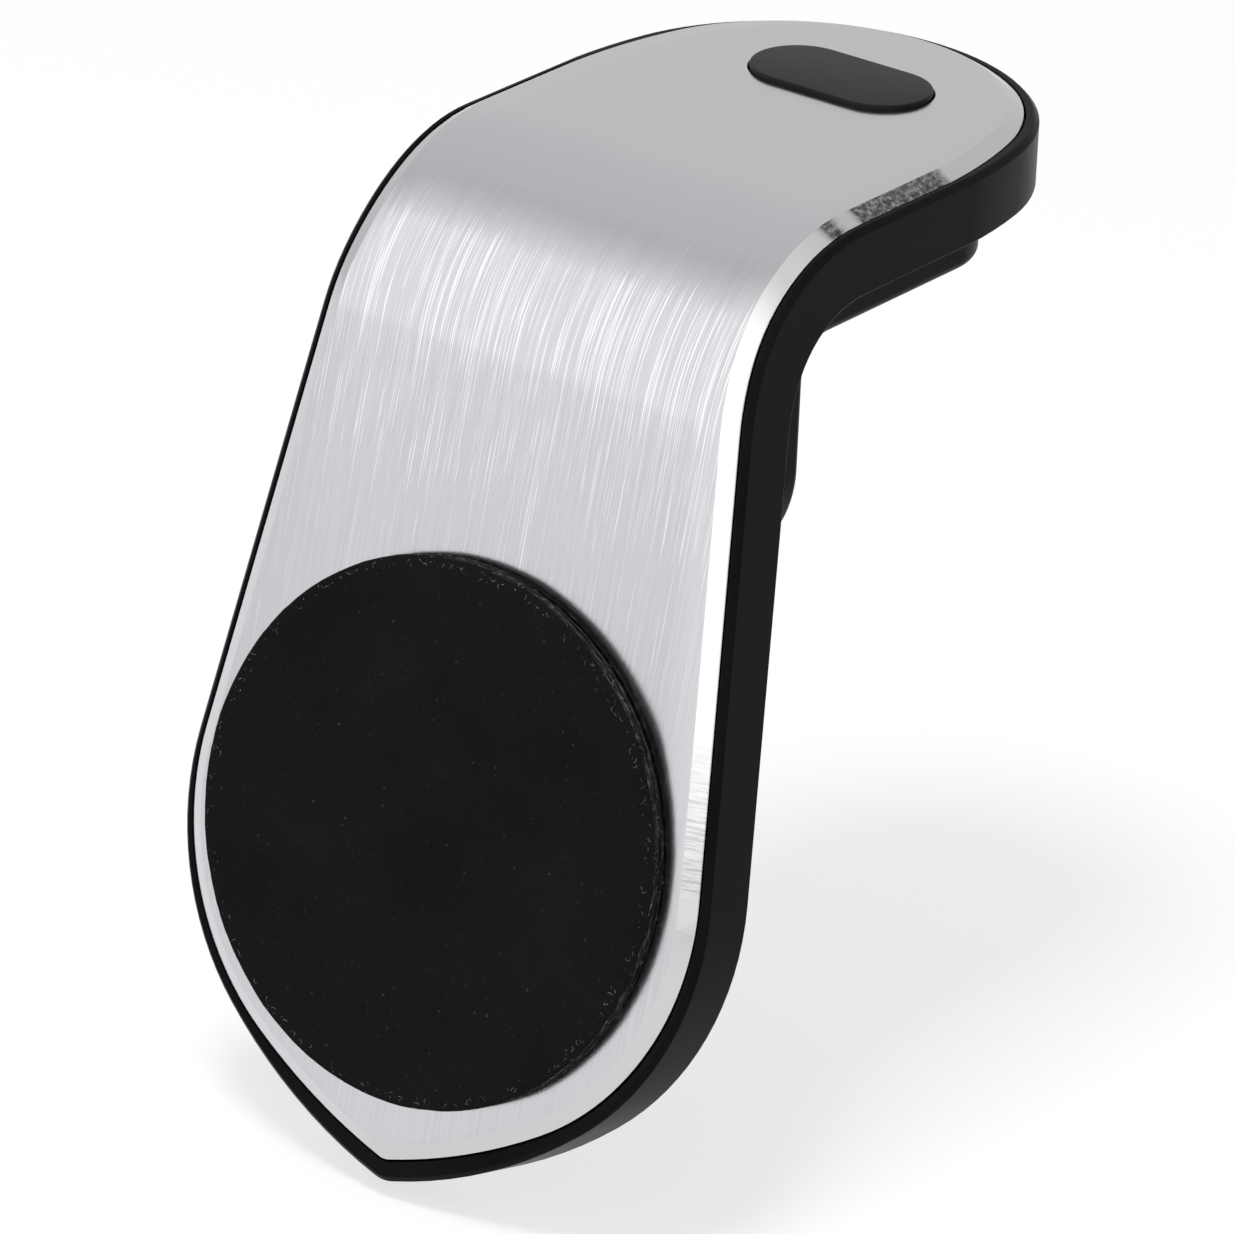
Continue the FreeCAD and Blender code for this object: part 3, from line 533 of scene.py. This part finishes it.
# nitrile rubber skin, matt black: calendered sheet with a fine pebble, dusted with
# specks too small to model
def makePadRubber():
    material, tree, body = startMaterial("mattNitrileRubber", {"IOR": 1.52, "Specular IOR Level": 0.06})
    coords = addNode(tree, "ShaderNodeTexCoord")
    pebble = addNode(tree, "ShaderNodeTexNoise", {"Scale": 4200.0, "Detail": 4.0, "Roughness": 0.6},
                     {"Vector": coords.outputs["Object"]})
    cloud = addNode(tree, "ShaderNodeTexNoise", {"Scale": 110.0, "Detail": 4.0, "Roughness": 0.65},
                    {"Vector": coords.outputs["Object"]})
    dust = addNode(tree, "ShaderNodeTexVoronoi", {"Scale": 1100.0, "Randomness": 1.0},
                   {"Vector": coords.outputs["Object"]})
    specks = ramp(tree, dust.outputs["Distance"], [(0.05, grey(1)), (0.13, grey(0))])
    pick = addNode(tree, "ShaderNodeSeparateXYZ", links={0: dust.outputs["Color"]})
    few = addNode(tree, "ShaderNodeMapRange", {1: 0.6, 2: 1.0, 3: 0.0, 4: 0.08}, {0: pick.outputs[0]})
    shown = addNode(tree, "ShaderNodeMath", {"operation": "MULTIPLY"},
                    {0: specks.outputs[0], 1: few.outputs[0]})
    tone = ramp(tree, cloud.outputs[0], [(0.35, linear("#09090A")), (0.7, linear("#0F0F10"))])
    mixed = addNode(tree, "ShaderNodeMix", {"data_type": "RGBA", 7: linear("#8D8C8F")},
                    {0: shown.outputs[0], 6: tone.outputs[0]})
    tree.links.new(mixed.outputs[2], body.inputs["Base Color"])
    rough = addNode(tree, "ShaderNodeMapRange", {3: 0.7, 4: 0.88}, {0: cloud.outputs[0]})
    tree.links.new(rough.outputs[0], body.inputs["Roughness"])
    addBump(tree, body, pebble, 0.3, 0.03)
    return material


# the pad's punched edge: torn layers of rubber and cloth, paler where the threads show
def makeTornEdge():
    material, tree, body = startMaterial("tornPadEdge", {"Roughness": 0.85, "Specular IOR Level": 0.06})
    coords = addNode(tree, "ShaderNodeTexCoord")
    level = addNode(tree, "ShaderNodeVectorMath", {"operation": "DOT_PRODUCT", 1: tuple(armSide)},
                    {0: coords.outputs["Object"]})
    split = addNode(tree, "ShaderNodeSeparateXYZ", links={0: coords.outputs["Object"]})
    across = addNode(tree, "ShaderNodeCombineXYZ", {}, {0: level.outputs["Value"], 1: split.outputs[0],
                                                        2: split.outputs[2]})
    stretch = addNode(tree, "ShaderNodeMapping", {"Scale": (9000, 1100, 1100)}, {"Vector": across.outputs[0]})
    threads = addNode(tree, "ShaderNodeTexNoise", {"Scale": 1.0, "Detail": 4.0, "Roughness": 0.7},
                      {"Vector": stretch.outputs[0]})
    tone = ramp(tree, threads.outputs[0], [(0.45, linear("#0B0B0C")), (0.6, linear("#2E2D2F")),
                                           (0.72, linear("#77767A"))])
    tree.links.new(tone.outputs[0], body.inputs["Base Color"])
    addBump(tree, body, threads, 0.5, 0.04)
    return material


# moulded silicone: dark grey, satin, slight grain
def makeSilicone(name, dark, light, rough, shine=0.5):
    material, tree, body = startMaterial(name, {"IOR": 1.43, "Roughness": rough, "Specular IOR Level": shine})
    coords = addNode(tree, "ShaderNodeTexCoord")
    grain = addNode(tree, "ShaderNodeTexNoise", {"Scale": 6000.0, "Detail": 3.0},
                    {"Vector": coords.outputs["Object"]})
    cloud = addNode(tree, "ShaderNodeTexNoise", {"Scale": 220.0, "Detail": 3.0},
                    {"Vector": coords.outputs["Object"]})
    tone = ramp(tree, cloud.outputs[0], [(0.3, linear(dark)), (0.7, linear(light))])
    tree.links.new(tone.outputs[0], body.inputs["Base Color"])
    spread = addNode(tree, "ShaderNodeMapRange", {3: rough - 0.07, 4: rough + 0.08}, {0: cloud.outputs[0]})
    tree.links.new(spread.outputs[0], body.inputs["Roughness"])
    addBump(tree, body, grain, 0.25, 0.02)
    return material


# plated or drawn steel: bright, with fine drawing lines round or along the piece
def makeSteel(name, dark, light, rough, scale):
    material, tree, body = startMaterial(name, {"Metallic": 1.0, "Roughness": rough})
    coords = addNode(tree, "ShaderNodeTexCoord")
    stretch = addNode(tree, "ShaderNodeMapping", {"Scale": scale}, {"Vector": coords.outputs["Object"]})
    lines = addNode(tree, "ShaderNodeTexNoise", {"Scale": 1.0, "Detail": 4.0}, {"Vector": stretch.outputs[0]})
    tone = ramp(tree, lines.outputs[0], [(0.3, linear(dark)), (0.7, linear(light))])
    tree.links.new(tone.outputs[0], body.inputs["Base Color"])
    spread = addNode(tree, "ShaderNodeMapRange", {3: rough - 0.06, 4: rough + 0.12}, {0: lines.outputs[0]})
    tree.links.new(spread.outputs[0], body.inputs["Roughness"])
    addBump(tree, body, lines, 0.12, 0.01)
    return material


brushed = makeBrushedAluminium()
diamondCut = makeDiamondCut()
satinAbs = makeSatinAbs()
padRubber = makePadRubber()
tornEdge = makeTornEdge()
thumbRubber = makeSilicone("satinThumbRubber", "#131215", "#19181B", 0.36, 0.11)
gripSilicone = makeSilicone("ribbedGripSilicone", "#1A191B", "#242325", 0.55, 0.2)
foamTape = makeSilicone("acrylicFoamTape", "#1E1E1E", "#2A2A2A", 0.6)
nylon = makeSilicone("naturalNylon", "#D9D6CC", "#E6E3DA", 0.4)
lintFibre = makeSilicone("cottonLint", "#6E6D70", "#A5A4A7", 0.8, 0.1)
dustFibre = makeSilicone("greyDustLint", "#333235", "#4A494C", 0.8, 0.1)
nickel = makeSteel("nickelPlatedMagnet", "#B5B3AE", "#CFCDC8", 0.22, (900, 900, 900))
zinc = makeSteel("brightZincSteel", "#A6A8AC", "#C2C4C8", 0.3, (2400, 500, 2400))
pinSteel = makeSteel("groundPinSteel", "#9EA0A3", "#B8BABD", 0.25, (400, 6000, 6000))
springWire = makeSteel("drawnSpringWire", "#8B8C8F", "#A9AAAD", 0.28, (3000, 3000, 3000))
print("materials ready")

# face plate
plate = {
    "faceLevel": 0.65,
    "backLevel": -0.35,
    "bevel": 1.1,
    "edgeSoft": 0.05,
    "thumbLong": 13.5,
    "thumbWide": 7.2,
    "thumbAt": (0.5, 8.95),
    "puckRadius": 16.7,
    "puckUp": 22.43,
}
soft = plate["edgeSoft"]
plateProfile = [
    (-plate["bevel"] - soft, plate["faceLevel"], 0),
    (-plate["bevel"] + soft, plate["faceLevel"] - 0.6 * soft, 0),
    (-soft, 0.6 * soft, 1),
    (0.0, -soft, 1),
    (0.0, plate["backLevel"] + soft, 1),
    (-soft, plate["backLevel"], 1),
]
plateMesh = layeredSheet("facePlate", plateProfile)
plateMesh.materials.append(brushed)
plateMesh.materials.append(diamondCut)
facePlate = newPiece("facePlate", plateMesh, None)
thumbTop = arm["topZ"] + plate["faceLevel"]
# the slot flares at its mouth, which softens its edge
slotProfile = [(0, thumbTop - 2.65), (0, thumbTop - 0.06), (0.09, thumbTop + 0.03), (0.09, thumbTop + 2.35)]
pillCutter = pillSolid("pillCutter", plate["thumbLong"], plate["thumbWide"], slotProfile, plate["thumbAt"])
padSpot = tipAt - armDown * plate["puckUp"]
puckCutter = lathe("puckCutter", [(0, -2), (plate["puckRadius"], -2), (plate["puckRadius"], 2), (0, 2)],
                   padSpot, armSide)
cutWith(facePlate, pillCutter, puckCutter)
finishMesh(facePlate.data, 20)
mapSheet(facePlate.data)
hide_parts("face_plate")
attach(facePlate, "mount_body")
print("face plate made")

# black mouldings and inner pieces, from the CAD solids with softened edges
for node, body, slot, material, bevel in (
        ("front_frame", "mount_body", "black_plastic", satinAbs, 0.07),
        ("rear_cover", "mount_body", "black_plastic", satinAbs, 0.1),
        ("magnet_carrier", "mount_body", "black_plastic", satinAbs, 0.05),
        ("clip_lever", "clip", "black_plastic", satinAbs, 0.15),
        ("plate_adhesive", "mount_body", "adhesive_film", foamTape, 0.0),
        ("pad_adhesive", "mount_body", "adhesive_film", foamTape, 0.02),
        ("pad_backing", "mount_body", "black_plastic", tornEdge, 0.04),
        ("magnets", "mount_body", "magnet_nickel", nickel, 0.1),
        ("back_iron", "mount_body", "zinc_steel", zinc, 0.06),
        ("hinge_pin", "mount_body", "pin_steel", pinSteel, 0.08),
        ("pin_ring", "mount_body", "spring_steel", springWire, 0.04),
        ("hinge_washers", "mount_body", "white_nylon", nylon, 0.03),
        ("spring_sleeve", "mount_body", "white_nylon", nylon, 0.03)):
    cadCopy(node, body, material, bevel)
print("mouldings and inner pieces made")


def startTree(name, given, sockets, result):
    # node group from one geometry to another, with further inputs that can be set by name
    tree = bpy.data.node_groups.new(name, "GeometryNodeTree")
    tree.interface.new_socket(given, in_out="INPUT", socket_type="NodeSocketGeometry")
    names = {}
    for key, kind in sockets:
        socket = tree.interface.new_socket(key, in_out="INPUT", socket_type="NodeSocket" + kind)
        names[key] = socket.identifier
    tree.interface.new_socket(result, in_out="OUTPUT", socket_type="NodeSocketGeometry")
    return tree, names, addNode(tree, "NodeGroupInput")


def grown(name, mesh, tree, names, values):
    # the mesh that a node group makes from another, on a holder that is then taken away
    holder = addObject(name, mesh)
    made = holder.modifiers.new(name, "NODES")
    made.node_group = tree
    for key, value in values.items():
        made[names[key]] = value
    result = applied(holder)
    bpy.data.objects.remove(holder)
    return result


# cover screws: one socket-head screw, copied to four places
def copyTree():
    # copies one piece to every point, its Z along the point's "out"
    tree, names, start = startTree("copyToPoints", "Points", (("Piece", "Object"), ("Finish", "Material")),
                                   "Copies")
    piece = addNode(tree, "GeometryNodeObjectInfo", {}, {"Object": start.outputs["Piece"]})
    out = addNode(tree, "GeometryNodeInputNamedAttribute", {"data_type": "FLOAT_VECTOR", "Name": "out"})
    turned = addNode(tree, "FunctionNodeAlignRotationToVector", {"axis": "Z"}, {"Vector": out.outputs[0]})
    placed = addNode(tree, "GeometryNodeInstanceOnPoints", {}, {
        "Points": start.outputs["Points"], "Instance": piece.outputs["Geometry"],
        "Rotation": turned.outputs[0]})
    real = addNode(tree, "GeometryNodeRealizeInstances", links={0: placed.outputs[0]})
    look = addNode(tree, "GeometryNodeSetMaterial", {}, {"Geometry": real.outputs[0],
                                                         "Material": start.outputs["Finish"]})
    addNode(tree, "NodeGroupOutput", links={0: look.outputs[0]})
    return tree, names


screw = {
    "headRadius": 1.6,
    "headHigh": 0.8,
    "shank": 0.8,
    "root": 0.68,
    "long": 2.9,
    "pitch": 0.4,
    "turns": 6,
    "socketFlat": 0.69,
    "socketDeep": 0.45,
    "mouth": 0.02,
    "rear": -4.45,
    "longArmPlaces": ((0, 3.1), (-11.5, 44.5), (11.5, 44.5)),    # across, up from the tip
    "headPlace": 25.4,             # along the head from the end of the bend
}


def socketHex(a, height):
    # the socket's rings are six-sided, every other ring is round
    if height not in (screw["socketDeep"], screw["mouth"]):
        return 0
    return screw["socketFlat"] * (1 / math.cos(a % math.radians(60) - math.radians(30)) - 1)


screwProfile = [(0, screw["socketDeep"]), (screw["socketFlat"], screw["socketDeep"]),
                (screw["socketFlat"], screw["mouth"]), (0.9, 0), (screw["headRadius"] - 0.1, 0),
                (screw["headRadius"], 0.1), (screw["headRadius"], screw["headHigh"] - 0.05),
                (screw["headRadius"] - 0.05, screw["headHigh"]), (screw["shank"], screw["headHigh"])]
for k in range(screw["turns"]):
    crest = screw["headHigh"] + 0.1 + k * screw["pitch"]
    screwProfile += [(screw["shank"], crest), (screw["root"], crest + screw["pitch"] / 2)]
screwEnd = screw["headHigh"] + screw["long"]
screwProfile += [(screw["root"] - 0.1, screwEnd), (0, screwEnd)]
screwMesh = lathe("coverScrew", screwProfile, Vector((0, 0, 0)), Vector((0, 0, 1)), 48, socketHex)
finishMesh(screwMesh, 30)
headOut = Vector((0, 0, 1))
screwSpots = [(tipAt - armDown * up + Vector((x, 0, 0)) + armSide * screw["rear"], armSide)
              for x, up in screw["longArmPlaces"]]
screwSpots.append((Vector((0, arm["bendY"] + screw["headPlace"], arm["topZ"] + screw["rear"])), headOut))
spotMesh = bpy.data.meshes.new("screwSpots")
spotMesh.from_pydata([at * mm for at, _ in screwSpots], [], [])
outward = spotMesh.attributes.new("out", "FLOAT_VECTOR", "POINT")
for k, (_, out) in enumerate(screwSpots):
    outward.data[k].vector = out
oneScrew = addObject("oneScrew", screwMesh)
copyNodes, copyInputs = copyTree()
screwSet = grown("screwHolder", spotMesh, copyNodes, copyInputs, {"Piece": oneScrew, "Finish": zinc})
bpy.data.objects.remove(oneScrew)
screwSet.name = "coverScrews"
finishMesh(screwSet, 30)
newPiece("coverScrews", screwSet, "mount_body", ("cover_screws",))
print("screws placed")


# ribbed grips: a soft-edged strip with half-round ribs in a row
def ribTree():
    tree, names, start = startTree("ribbedStrip", "Strip", (
        ("Rib", "Object"), ("Count", "Int"), ("First", "Vector"), ("Step", "Vector"),
        ("Finish", "Material")), "Ribbed Strip")
    row = addNode(tree, "GeometryNodeMeshLine", {"mode": "OFFSET"}, {
        "Count": start.outputs["Count"], "Start Location": start.outputs["First"],
        "Offset": start.outputs["Step"]})
    rib = addNode(tree, "GeometryNodeObjectInfo", {}, {"Object": start.outputs["Rib"]})
    placed = addNode(tree, "GeometryNodeInstanceOnPoints", {}, {
        "Points": row.outputs[0], "Instance": rib.outputs["Geometry"]})
    joined = addNode(tree, "GeometryNodeJoinGeometry")
    tree.links.new(start.outputs["Strip"], joined.inputs[0])
    tree.links.new(placed.outputs[0], joined.inputs[0])
    real = addNode(tree, "GeometryNodeRealizeInstances", links={0: joined.outputs[0]})
    look = addNode(tree, "GeometryNodeSetMaterial", {}, {"Geometry": real.outputs[0],
                                                         "Material": start.outputs["Finish"]})
    addNode(tree, "NodeGroupOutput", links={0: look.outputs[0]})
    return tree, names


def ribMesh(wide, radius, side):
    # half-round bar along X with rounded-off ends, flat side at Z = 0
    steps = 12
    bm = bmesh.new()
    rows = []
    for x, grow in ((-wide, -0.08), (-wide + 0.03, -0.03), (-wide + 0.1, 0),
                    (wide - 0.1, 0), (wide - 0.03, -0.03), (wide, -0.08)):
        r = radius + grow
        row = []
        for k in range(steps + 1):
            a = math.pi * k / steps
            row.append(bm.verts.new(Vector((x, r * math.cos(a), side * r * math.sin(a))) * mm))
        rows.append(row)
    skin(bm, rows)
    return meshFrom(bm, "gripRib")


def stripMesh(wide, length, thick, side):
    # flat strip from Y = 0, its free face at side * thick, edges rounded there
    corner, cornerSteps, round = 0.3, 4, 0.08
    bm = bmesh.new()
    loops = []
    for grow, z in ((0, 0), (0, thick - round), (-0.3 * round, thick - 0.3 * round), (-round, thick)):
        loop = []
        for cx, cy, first in ((wide, length, 0), (-wide, length, 90), (-wide, 0, 180), (wide, 0, 270)):
            x = cx - math.copysign(corner, cx)
            y = cy - (corner if cy > 0 else -corner)
            for k in range(cornerSteps + 1):
                a = math.radians(first + 90 * k / cornerSteps)
                r = corner + grow
                loop.append(bm.verts.new(Vector((x + r * math.cos(a), y + r * math.sin(a), side * z)) * mm))
        loops.append(loop)
    skin(bm, loops)
    return meshFrom(bm, "gripStrip")


# half the width, length, thickness and rib radius; which way it faces; where it starts
ribPitch = 1.5
grips = {
    "arm_grip": {"body": "mount_body", "wide": 11.0, "long": 15.6, "thick": 0.45, "rib": 0.35,
                 "side": -1, "at": (0, -7.6, 1.5)},
    "jaw_grip": {"body": "clip", "wide": 10.6, "long": 17.0, "thick": 0.25, "rib": 0.25,
                 "side": 1, "at": (0, -7.0, -1.0)},
}
ribNodes, ribInputs = ribTree()
for node, size in grips.items():
    count = int(size["long"] / ribPitch)
    first = (size["long"] - count * ribPitch) / 2 + ribPitch / 2
    base = stripMesh(size["wide"], size["long"], size["thick"], size["side"])
    oneRib = addObject("oneRib", ribMesh(size["wide"], size["rib"], size["side"]))
    grip = grown("gripHolder", base, ribNodes, ribInputs, {
        "Rib": oneRib, "Count": count, "First": (0, first * mm, size["side"] * size["thick"] * mm),
        "Step": (0, ribPitch * mm, 0), "Finish": gripSilicone})
    bpy.data.objects.remove(oneRib)
    grip.transform(Matrix.Translation(Vector(size["at"]) * mm))
    finishMesh(grip, 40)
    newPiece(node + "Finish", grip, size["body"], (node,))
print("grips made")

# contact pad: a seam runs round its edge between the two layers
pad = {"radius": 18.0, "foot": 1.15, "top": 2.15, "round": 0.2, "ragged": 0.05,
       "seam": 1.5, "seamHalf": 0.08, "seamDeep": 0.12}


def padEdge(a, height):
    p = Vector((math.cos(a) * 6, math.sin(a) * 6, height * 9))
    return pad["ragged"] * (noise.noise(p) + 0.6 * noise.noise(p * 4.3)) - 0.04


padProfile = [(0, pad["foot"]), (14, pad["foot"]), (pad["radius"] - 0.05, pad["foot"])]
padProfile += [(pad["radius"], 1.2), (pad["radius"] - 0.02, pad["seam"] - pad["seamHalf"]),
               (pad["radius"] - pad["seamDeep"], pad["seam"]),
               (pad["radius"] - 0.02, pad["seam"] + pad["seamHalf"]), (pad["radius"], 1.74)]
for k in range(6):
    a = math.radians(90 * k / 5)
    padProfile.append((pad["radius"] - pad["round"] * (1 - math.cos(a)),
                       pad["top"] - pad["round"] * (1 - math.sin(a))))
padProfile += [(17.0, pad["top"]), (12, pad["top"]), (6, pad["top"]), (0, pad["top"])]
padMesh = lathe("contactPad", padProfile, padSpot, armSide, 240, padEdge)
padMesh.materials.append(padRubber)
padMesh.materials.append(tornEdge)
for face in padMesh.polygons:
    if face.normal.dot(armSide) < 0.55:
        face.material_index = 1
finishMesh(padMesh, 40)
contactPad = newPiece("contactPad", padMesh, "mount_body", ("contact_pad",))


# lint caught on the pad: curved fibres scattered over a surface
def lintTree():
    tree, names, start = startTree("scatterLint", "Surface", (
        ("Density", "Float"), ("Seed", "Int"), ("Curl", "Float"), ("Thickness", "Float"),
        ("Lint", "Material")), "Fibres")
    points = addNode(tree, "GeometryNodeDistributePointsOnFaces", {}, {
        "Mesh": start.outputs["Surface"], "Density": start.outputs["Density"], "Seed": start.outputs["Seed"]})
    arc = addNode(tree, "GeometryNodeCurveArc", {"Resolution": 6, "Sweep Angle": math.radians(110)},
                  {"Radius": start.outputs["Curl"]})
    section = addNode(tree, "GeometryNodeCurvePrimitiveCircle", {"Resolution": 3},
                      {"Radius": start.outputs["Thickness"]})
    fibre = addNode(tree, "GeometryNodeCurveToMesh", {},
                    {"Curve": arc.outputs[0], "Profile Curve": section.outputs[0]})
    spin = addNode(tree, "FunctionNodeRandomValue", {"data_type": "FLOAT_VECTOR", 0: (-0.5, -0.5, 0),
                                                     1: (0.5, 0.5, 6.283)}, {"Seed": start.outputs["Seed"]})
    turned = addNode(tree, "FunctionNodeRotateRotation", {"rotation_space": "LOCAL"},
                     {0: points.outputs["Rotation"], 1: spin.outputs[0]})
    length = addNode(tree, "FunctionNodeRandomValue", {"data_type": "FLOAT", 2: 0.35, 3: 1.0},
                     {"Seed": start.outputs["Seed"]})
    placed = addNode(tree, "GeometryNodeInstanceOnPoints", {}, {
        "Points": points.outputs["Points"], "Instance": fibre.outputs[0], "Rotation": turned.outputs[0],
        "Scale": length.outputs[1]})
    real = addNode(tree, "GeometryNodeRealizeInstances", links={0: placed.outputs[0]})
    look = addNode(tree, "GeometryNodeSetMaterial", {}, {"Geometry": real.outputs[0],
                                                         "Material": start.outputs["Lint"]})
    addNode(tree, "NodeGroupOutput", links={0: look.outputs[0]})
    return tree, names


lintNodes, lintInputs = lintTree()


def scatter(name, surface, values):
    mesh = grown(name + "Surface", surface, lintNodes, lintInputs, values)
    mesh.name = name
    finishMesh(mesh, 60)
    return newPiece(name, mesh, "mount_body")


rimBand = lathe("rimBand", [(pad["radius"] - 0.06, 1.25), (pad["radius"] - 0.06, pad["top"] - 0.15),
                            (pad["radius"] - 0.45, pad["top"]), (pad["radius"] - 0.8, pad["top"])],
                padSpot, armSide, 120)
scatter("padEdgeLint", rimBand, {"Density": 6e6, "Seed": 11, "Curl": 0.24 * mm, "Thickness": 0.0065 * mm,
                                 "Lint": lintFibre})
faceDisc = lathe("faceDisc", [(pad["radius"] - 0.4, pad["top"]), (0, pad["top"])], padSpot, armSide, 120)
scatter("padFaceLint", faceDisc, {"Density": 1.6e6, "Seed": 23, "Curl": 0.17 * mm, "Thickness": 0.005 * mm,
                                  "Lint": dustFibre})
print("lint scattered")

# thumb pad
thumb = {"long": 13.3, "wide": 7.0, "top": 7.0, "foot": 5.5, "round": 0.12}
thumbProfile = [(0, thumb["foot"]), (0, thumb["top"] - thumb["round"])]
for k in range(1, 7):
    a = math.radians(90 * k / 6)
    thumbProfile.append((-thumb["round"] * (1 - math.cos(a)),
                         thumb["top"] - thumb["round"] * (1 - math.sin(a))))
thumbMesh = pillSolid("thumbPad", thumb["long"], thumb["wide"], thumbProfile, plate["thumbAt"])
thumbMesh.materials.append(thumbRubber)
finishMesh(thumbMesh, 40)
thumbPad = newPiece("thumbPad", thumbMesh, "mount_body", ("thumb_pad",))
print("pads made")


# torsion spring, wire swept along its wound path
def wireTree():
    tree, names, start = startTree("sweepWire", "Path", (("Wire Radius", "Float"),), "Wire")
    curve = addNode(tree, "GeometryNodeMeshToCurve", links={0: start.outputs[0]})
    section = addNode(tree, "GeometryNodeCurvePrimitiveCircle", {"Resolution": 14},
                      {"Radius": start.outputs["Wire Radius"]})
    swept = addNode(tree, "GeometryNodeCurveToMesh", {"Fill Caps": True},
                    {"Curve": curve.outputs[0], "Profile Curve": section.outputs[0]})
    real = addNode(tree, "GeometryNodeRealizeInstances", links={0: swept.outputs[0]})
    look = addNode(tree, "GeometryNodeSetMaterial", {"Material": springWire}, {"Geometry": real.outputs[0]})
    addNode(tree, "NodeGroupOutput", links={0: look.outputs[0]})
    return tree, names


spring = {"mean": 1.55, "wire": 0.3, "pitch": 1.1, "coverLeg": 7.2, "tailLeg": 8.9, "turns": 5,
          "coverWay": (-0.85, -0.527), "tailAngle": 194.4, "stepAngle": 7.5}
coverDir = Vector(spring["coverWay"]).normalized()
startAngle = math.atan2(coverDir.x, -coverDir.y)
endAngle = math.radians(spring["tailAngle"])
swing = (endAngle - startAngle) % (2 * math.pi) + 2 * math.pi * spring["turns"]
height = swing / (2 * math.pi) * spring["pitch"]


def coilPoint(angle):
    a = startAngle + angle
    x = -height / 2 + angle / (2 * math.pi) * spring["pitch"]
    return Vector((x, pinAt.y + spring["mean"] * math.cos(a), pinAt.z + spring["mean"] * math.sin(a)))


steps = int(math.degrees(swing) / spring["stepAngle"])
wirePoints = [coilPoint(swing * k / steps) for k in range(steps + 1)]
into = (wirePoints[1] - wirePoints[0]).normalized()
away = (wirePoints[-1] - wirePoints[-2]).normalized()
wirePoints = [wirePoints[0] - into * spring["coverLeg"] * t for t in (1, 0.66, 0.33)] + wirePoints
wirePoints += [wirePoints[-1] + away * spring["tailLeg"] * t for t in (0.33, 0.66, 1)]
path = bpy.data.meshes.new("springPath")
path.from_pydata([p * mm for p in wirePoints], [(k, k + 1) for k in range(len(wirePoints) - 1)], [])
wireNodes, wireInputs = wireTree()
coil = grown("springPath", path, wireNodes, wireInputs, {"Wire Radius": spring["wire"] * mm})
coil.name = "clipSpring"
finishMesh(coil, 50)
clipSpring = newPiece("clipSpring", coil, None, ("clip_spring",))
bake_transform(clipSpring)
print("spring wound")

# floor, light and camera
floorGap, floorHalf = 0.0002, 3
floorZ = cadLow.z - floorGap
floorMesh = bpy.data.meshes.new("floor")
floorCorners = [(x * floorHalf, y * floorHalf, floorZ) for x, y in ((-1, -1), (1, -1), (1, 1), (-1, 1))]
floorMesh.from_pydata(floorCorners, [], [(0, 1, 2, 3)])
floor = addObject("floor", floorMesh)
# white sheet that gives off light of its own, so that shadows on it stay light
paper = startMaterial("litWhitePaper", {
    "Base Color": grey(0.17), "Roughness": 0.9, "Specular IOR Level": 0.0,
    "Emission Color": grey(1.0), "Emission Strength": 0.71})[0]
floorMesh.materials.append(paper)

# a studio tent, brightest towards -Y and darkest square to it; levels go by world Y, -1 to 1
tentLevel = 1.25
tent = [(-1.0, 1.2), (-0.45, 1.2), (-0.15, 0.8), (0.0, 0.7), (0.1, 0.75), (1.0, 0.75)]
world = bpy.data.worlds.new("studio")
bpy.context.scene.world = world
world.use_nodes = True
sky = world.node_tree
sky.nodes.clear()
where = addNode(sky, "ShaderNodeTexCoord")
axes = addNode(sky, "ShaderNodeSeparateXYZ", links={0: where.outputs["Generated"]})
spot = addNode(sky, "ShaderNodeMapRange", {1: -1.0, 2: 1.0, 3: 0.0, 4: 1.0}, {0: axes.outputs["Y"]})
cloth = ramp(sky, spot.outputs[0], [((y + 1) / 2, grey(level / tentLevel)) for y, level in tent])
background = addNode(sky, "ShaderNodeBackground", {"Strength": tentLevel}, {"Color": cloth.outputs[0]})
addNode(sky, "ShaderNodeOutputWorld", links={"Surface": background.outputs[0]})

keySoft = {"at": (0.0, -0.2, 0.6), "target": (0, 0, -0.03), "size": 0.16, "power": 5.0}
keyLight = bpy.data.lights.new("keySoftBox", "AREA")
keyLight.shape = "SQUARE"
keyLight.size = keySoft["size"]
keyLight.energy = keySoft["power"]
key = addObject("keySoftBox", keyLight)
key.location = keySoft["at"]
key.rotation_euler = (Vector(keySoft["target"]) - Vector(keySoft["at"])).to_track_quat("-Z", "Y").to_euler()
key.visible_glossy = False

camera = {"at": (0.3298, -0.4647, 0.2242), "right": (0.79656, 0.60323, 0.03999),
          "up": (-0.27491, 0.30252, 0.91266), "lens": 273.4}
view = bpy.data.cameras.new("camera")
view.lens = camera["lens"]
view.sensor_width = 36
view.clip_start, view.clip_end = 0.01, 20
cam = addObject("camera", view)
right, up = Vector(camera["right"]).normalized(), Vector(camera["up"]).normalized()
back = right.cross(up).normalized()
turn = Matrix((right, up, back)).transposed()
cam.matrix_world = Matrix.Translation(camera["at"]) @ turn.to_4x4()
bpy.context.scene.camera = cam
bpy.context.scene.view_settings.view_transform = "Standard"
print("stage set")
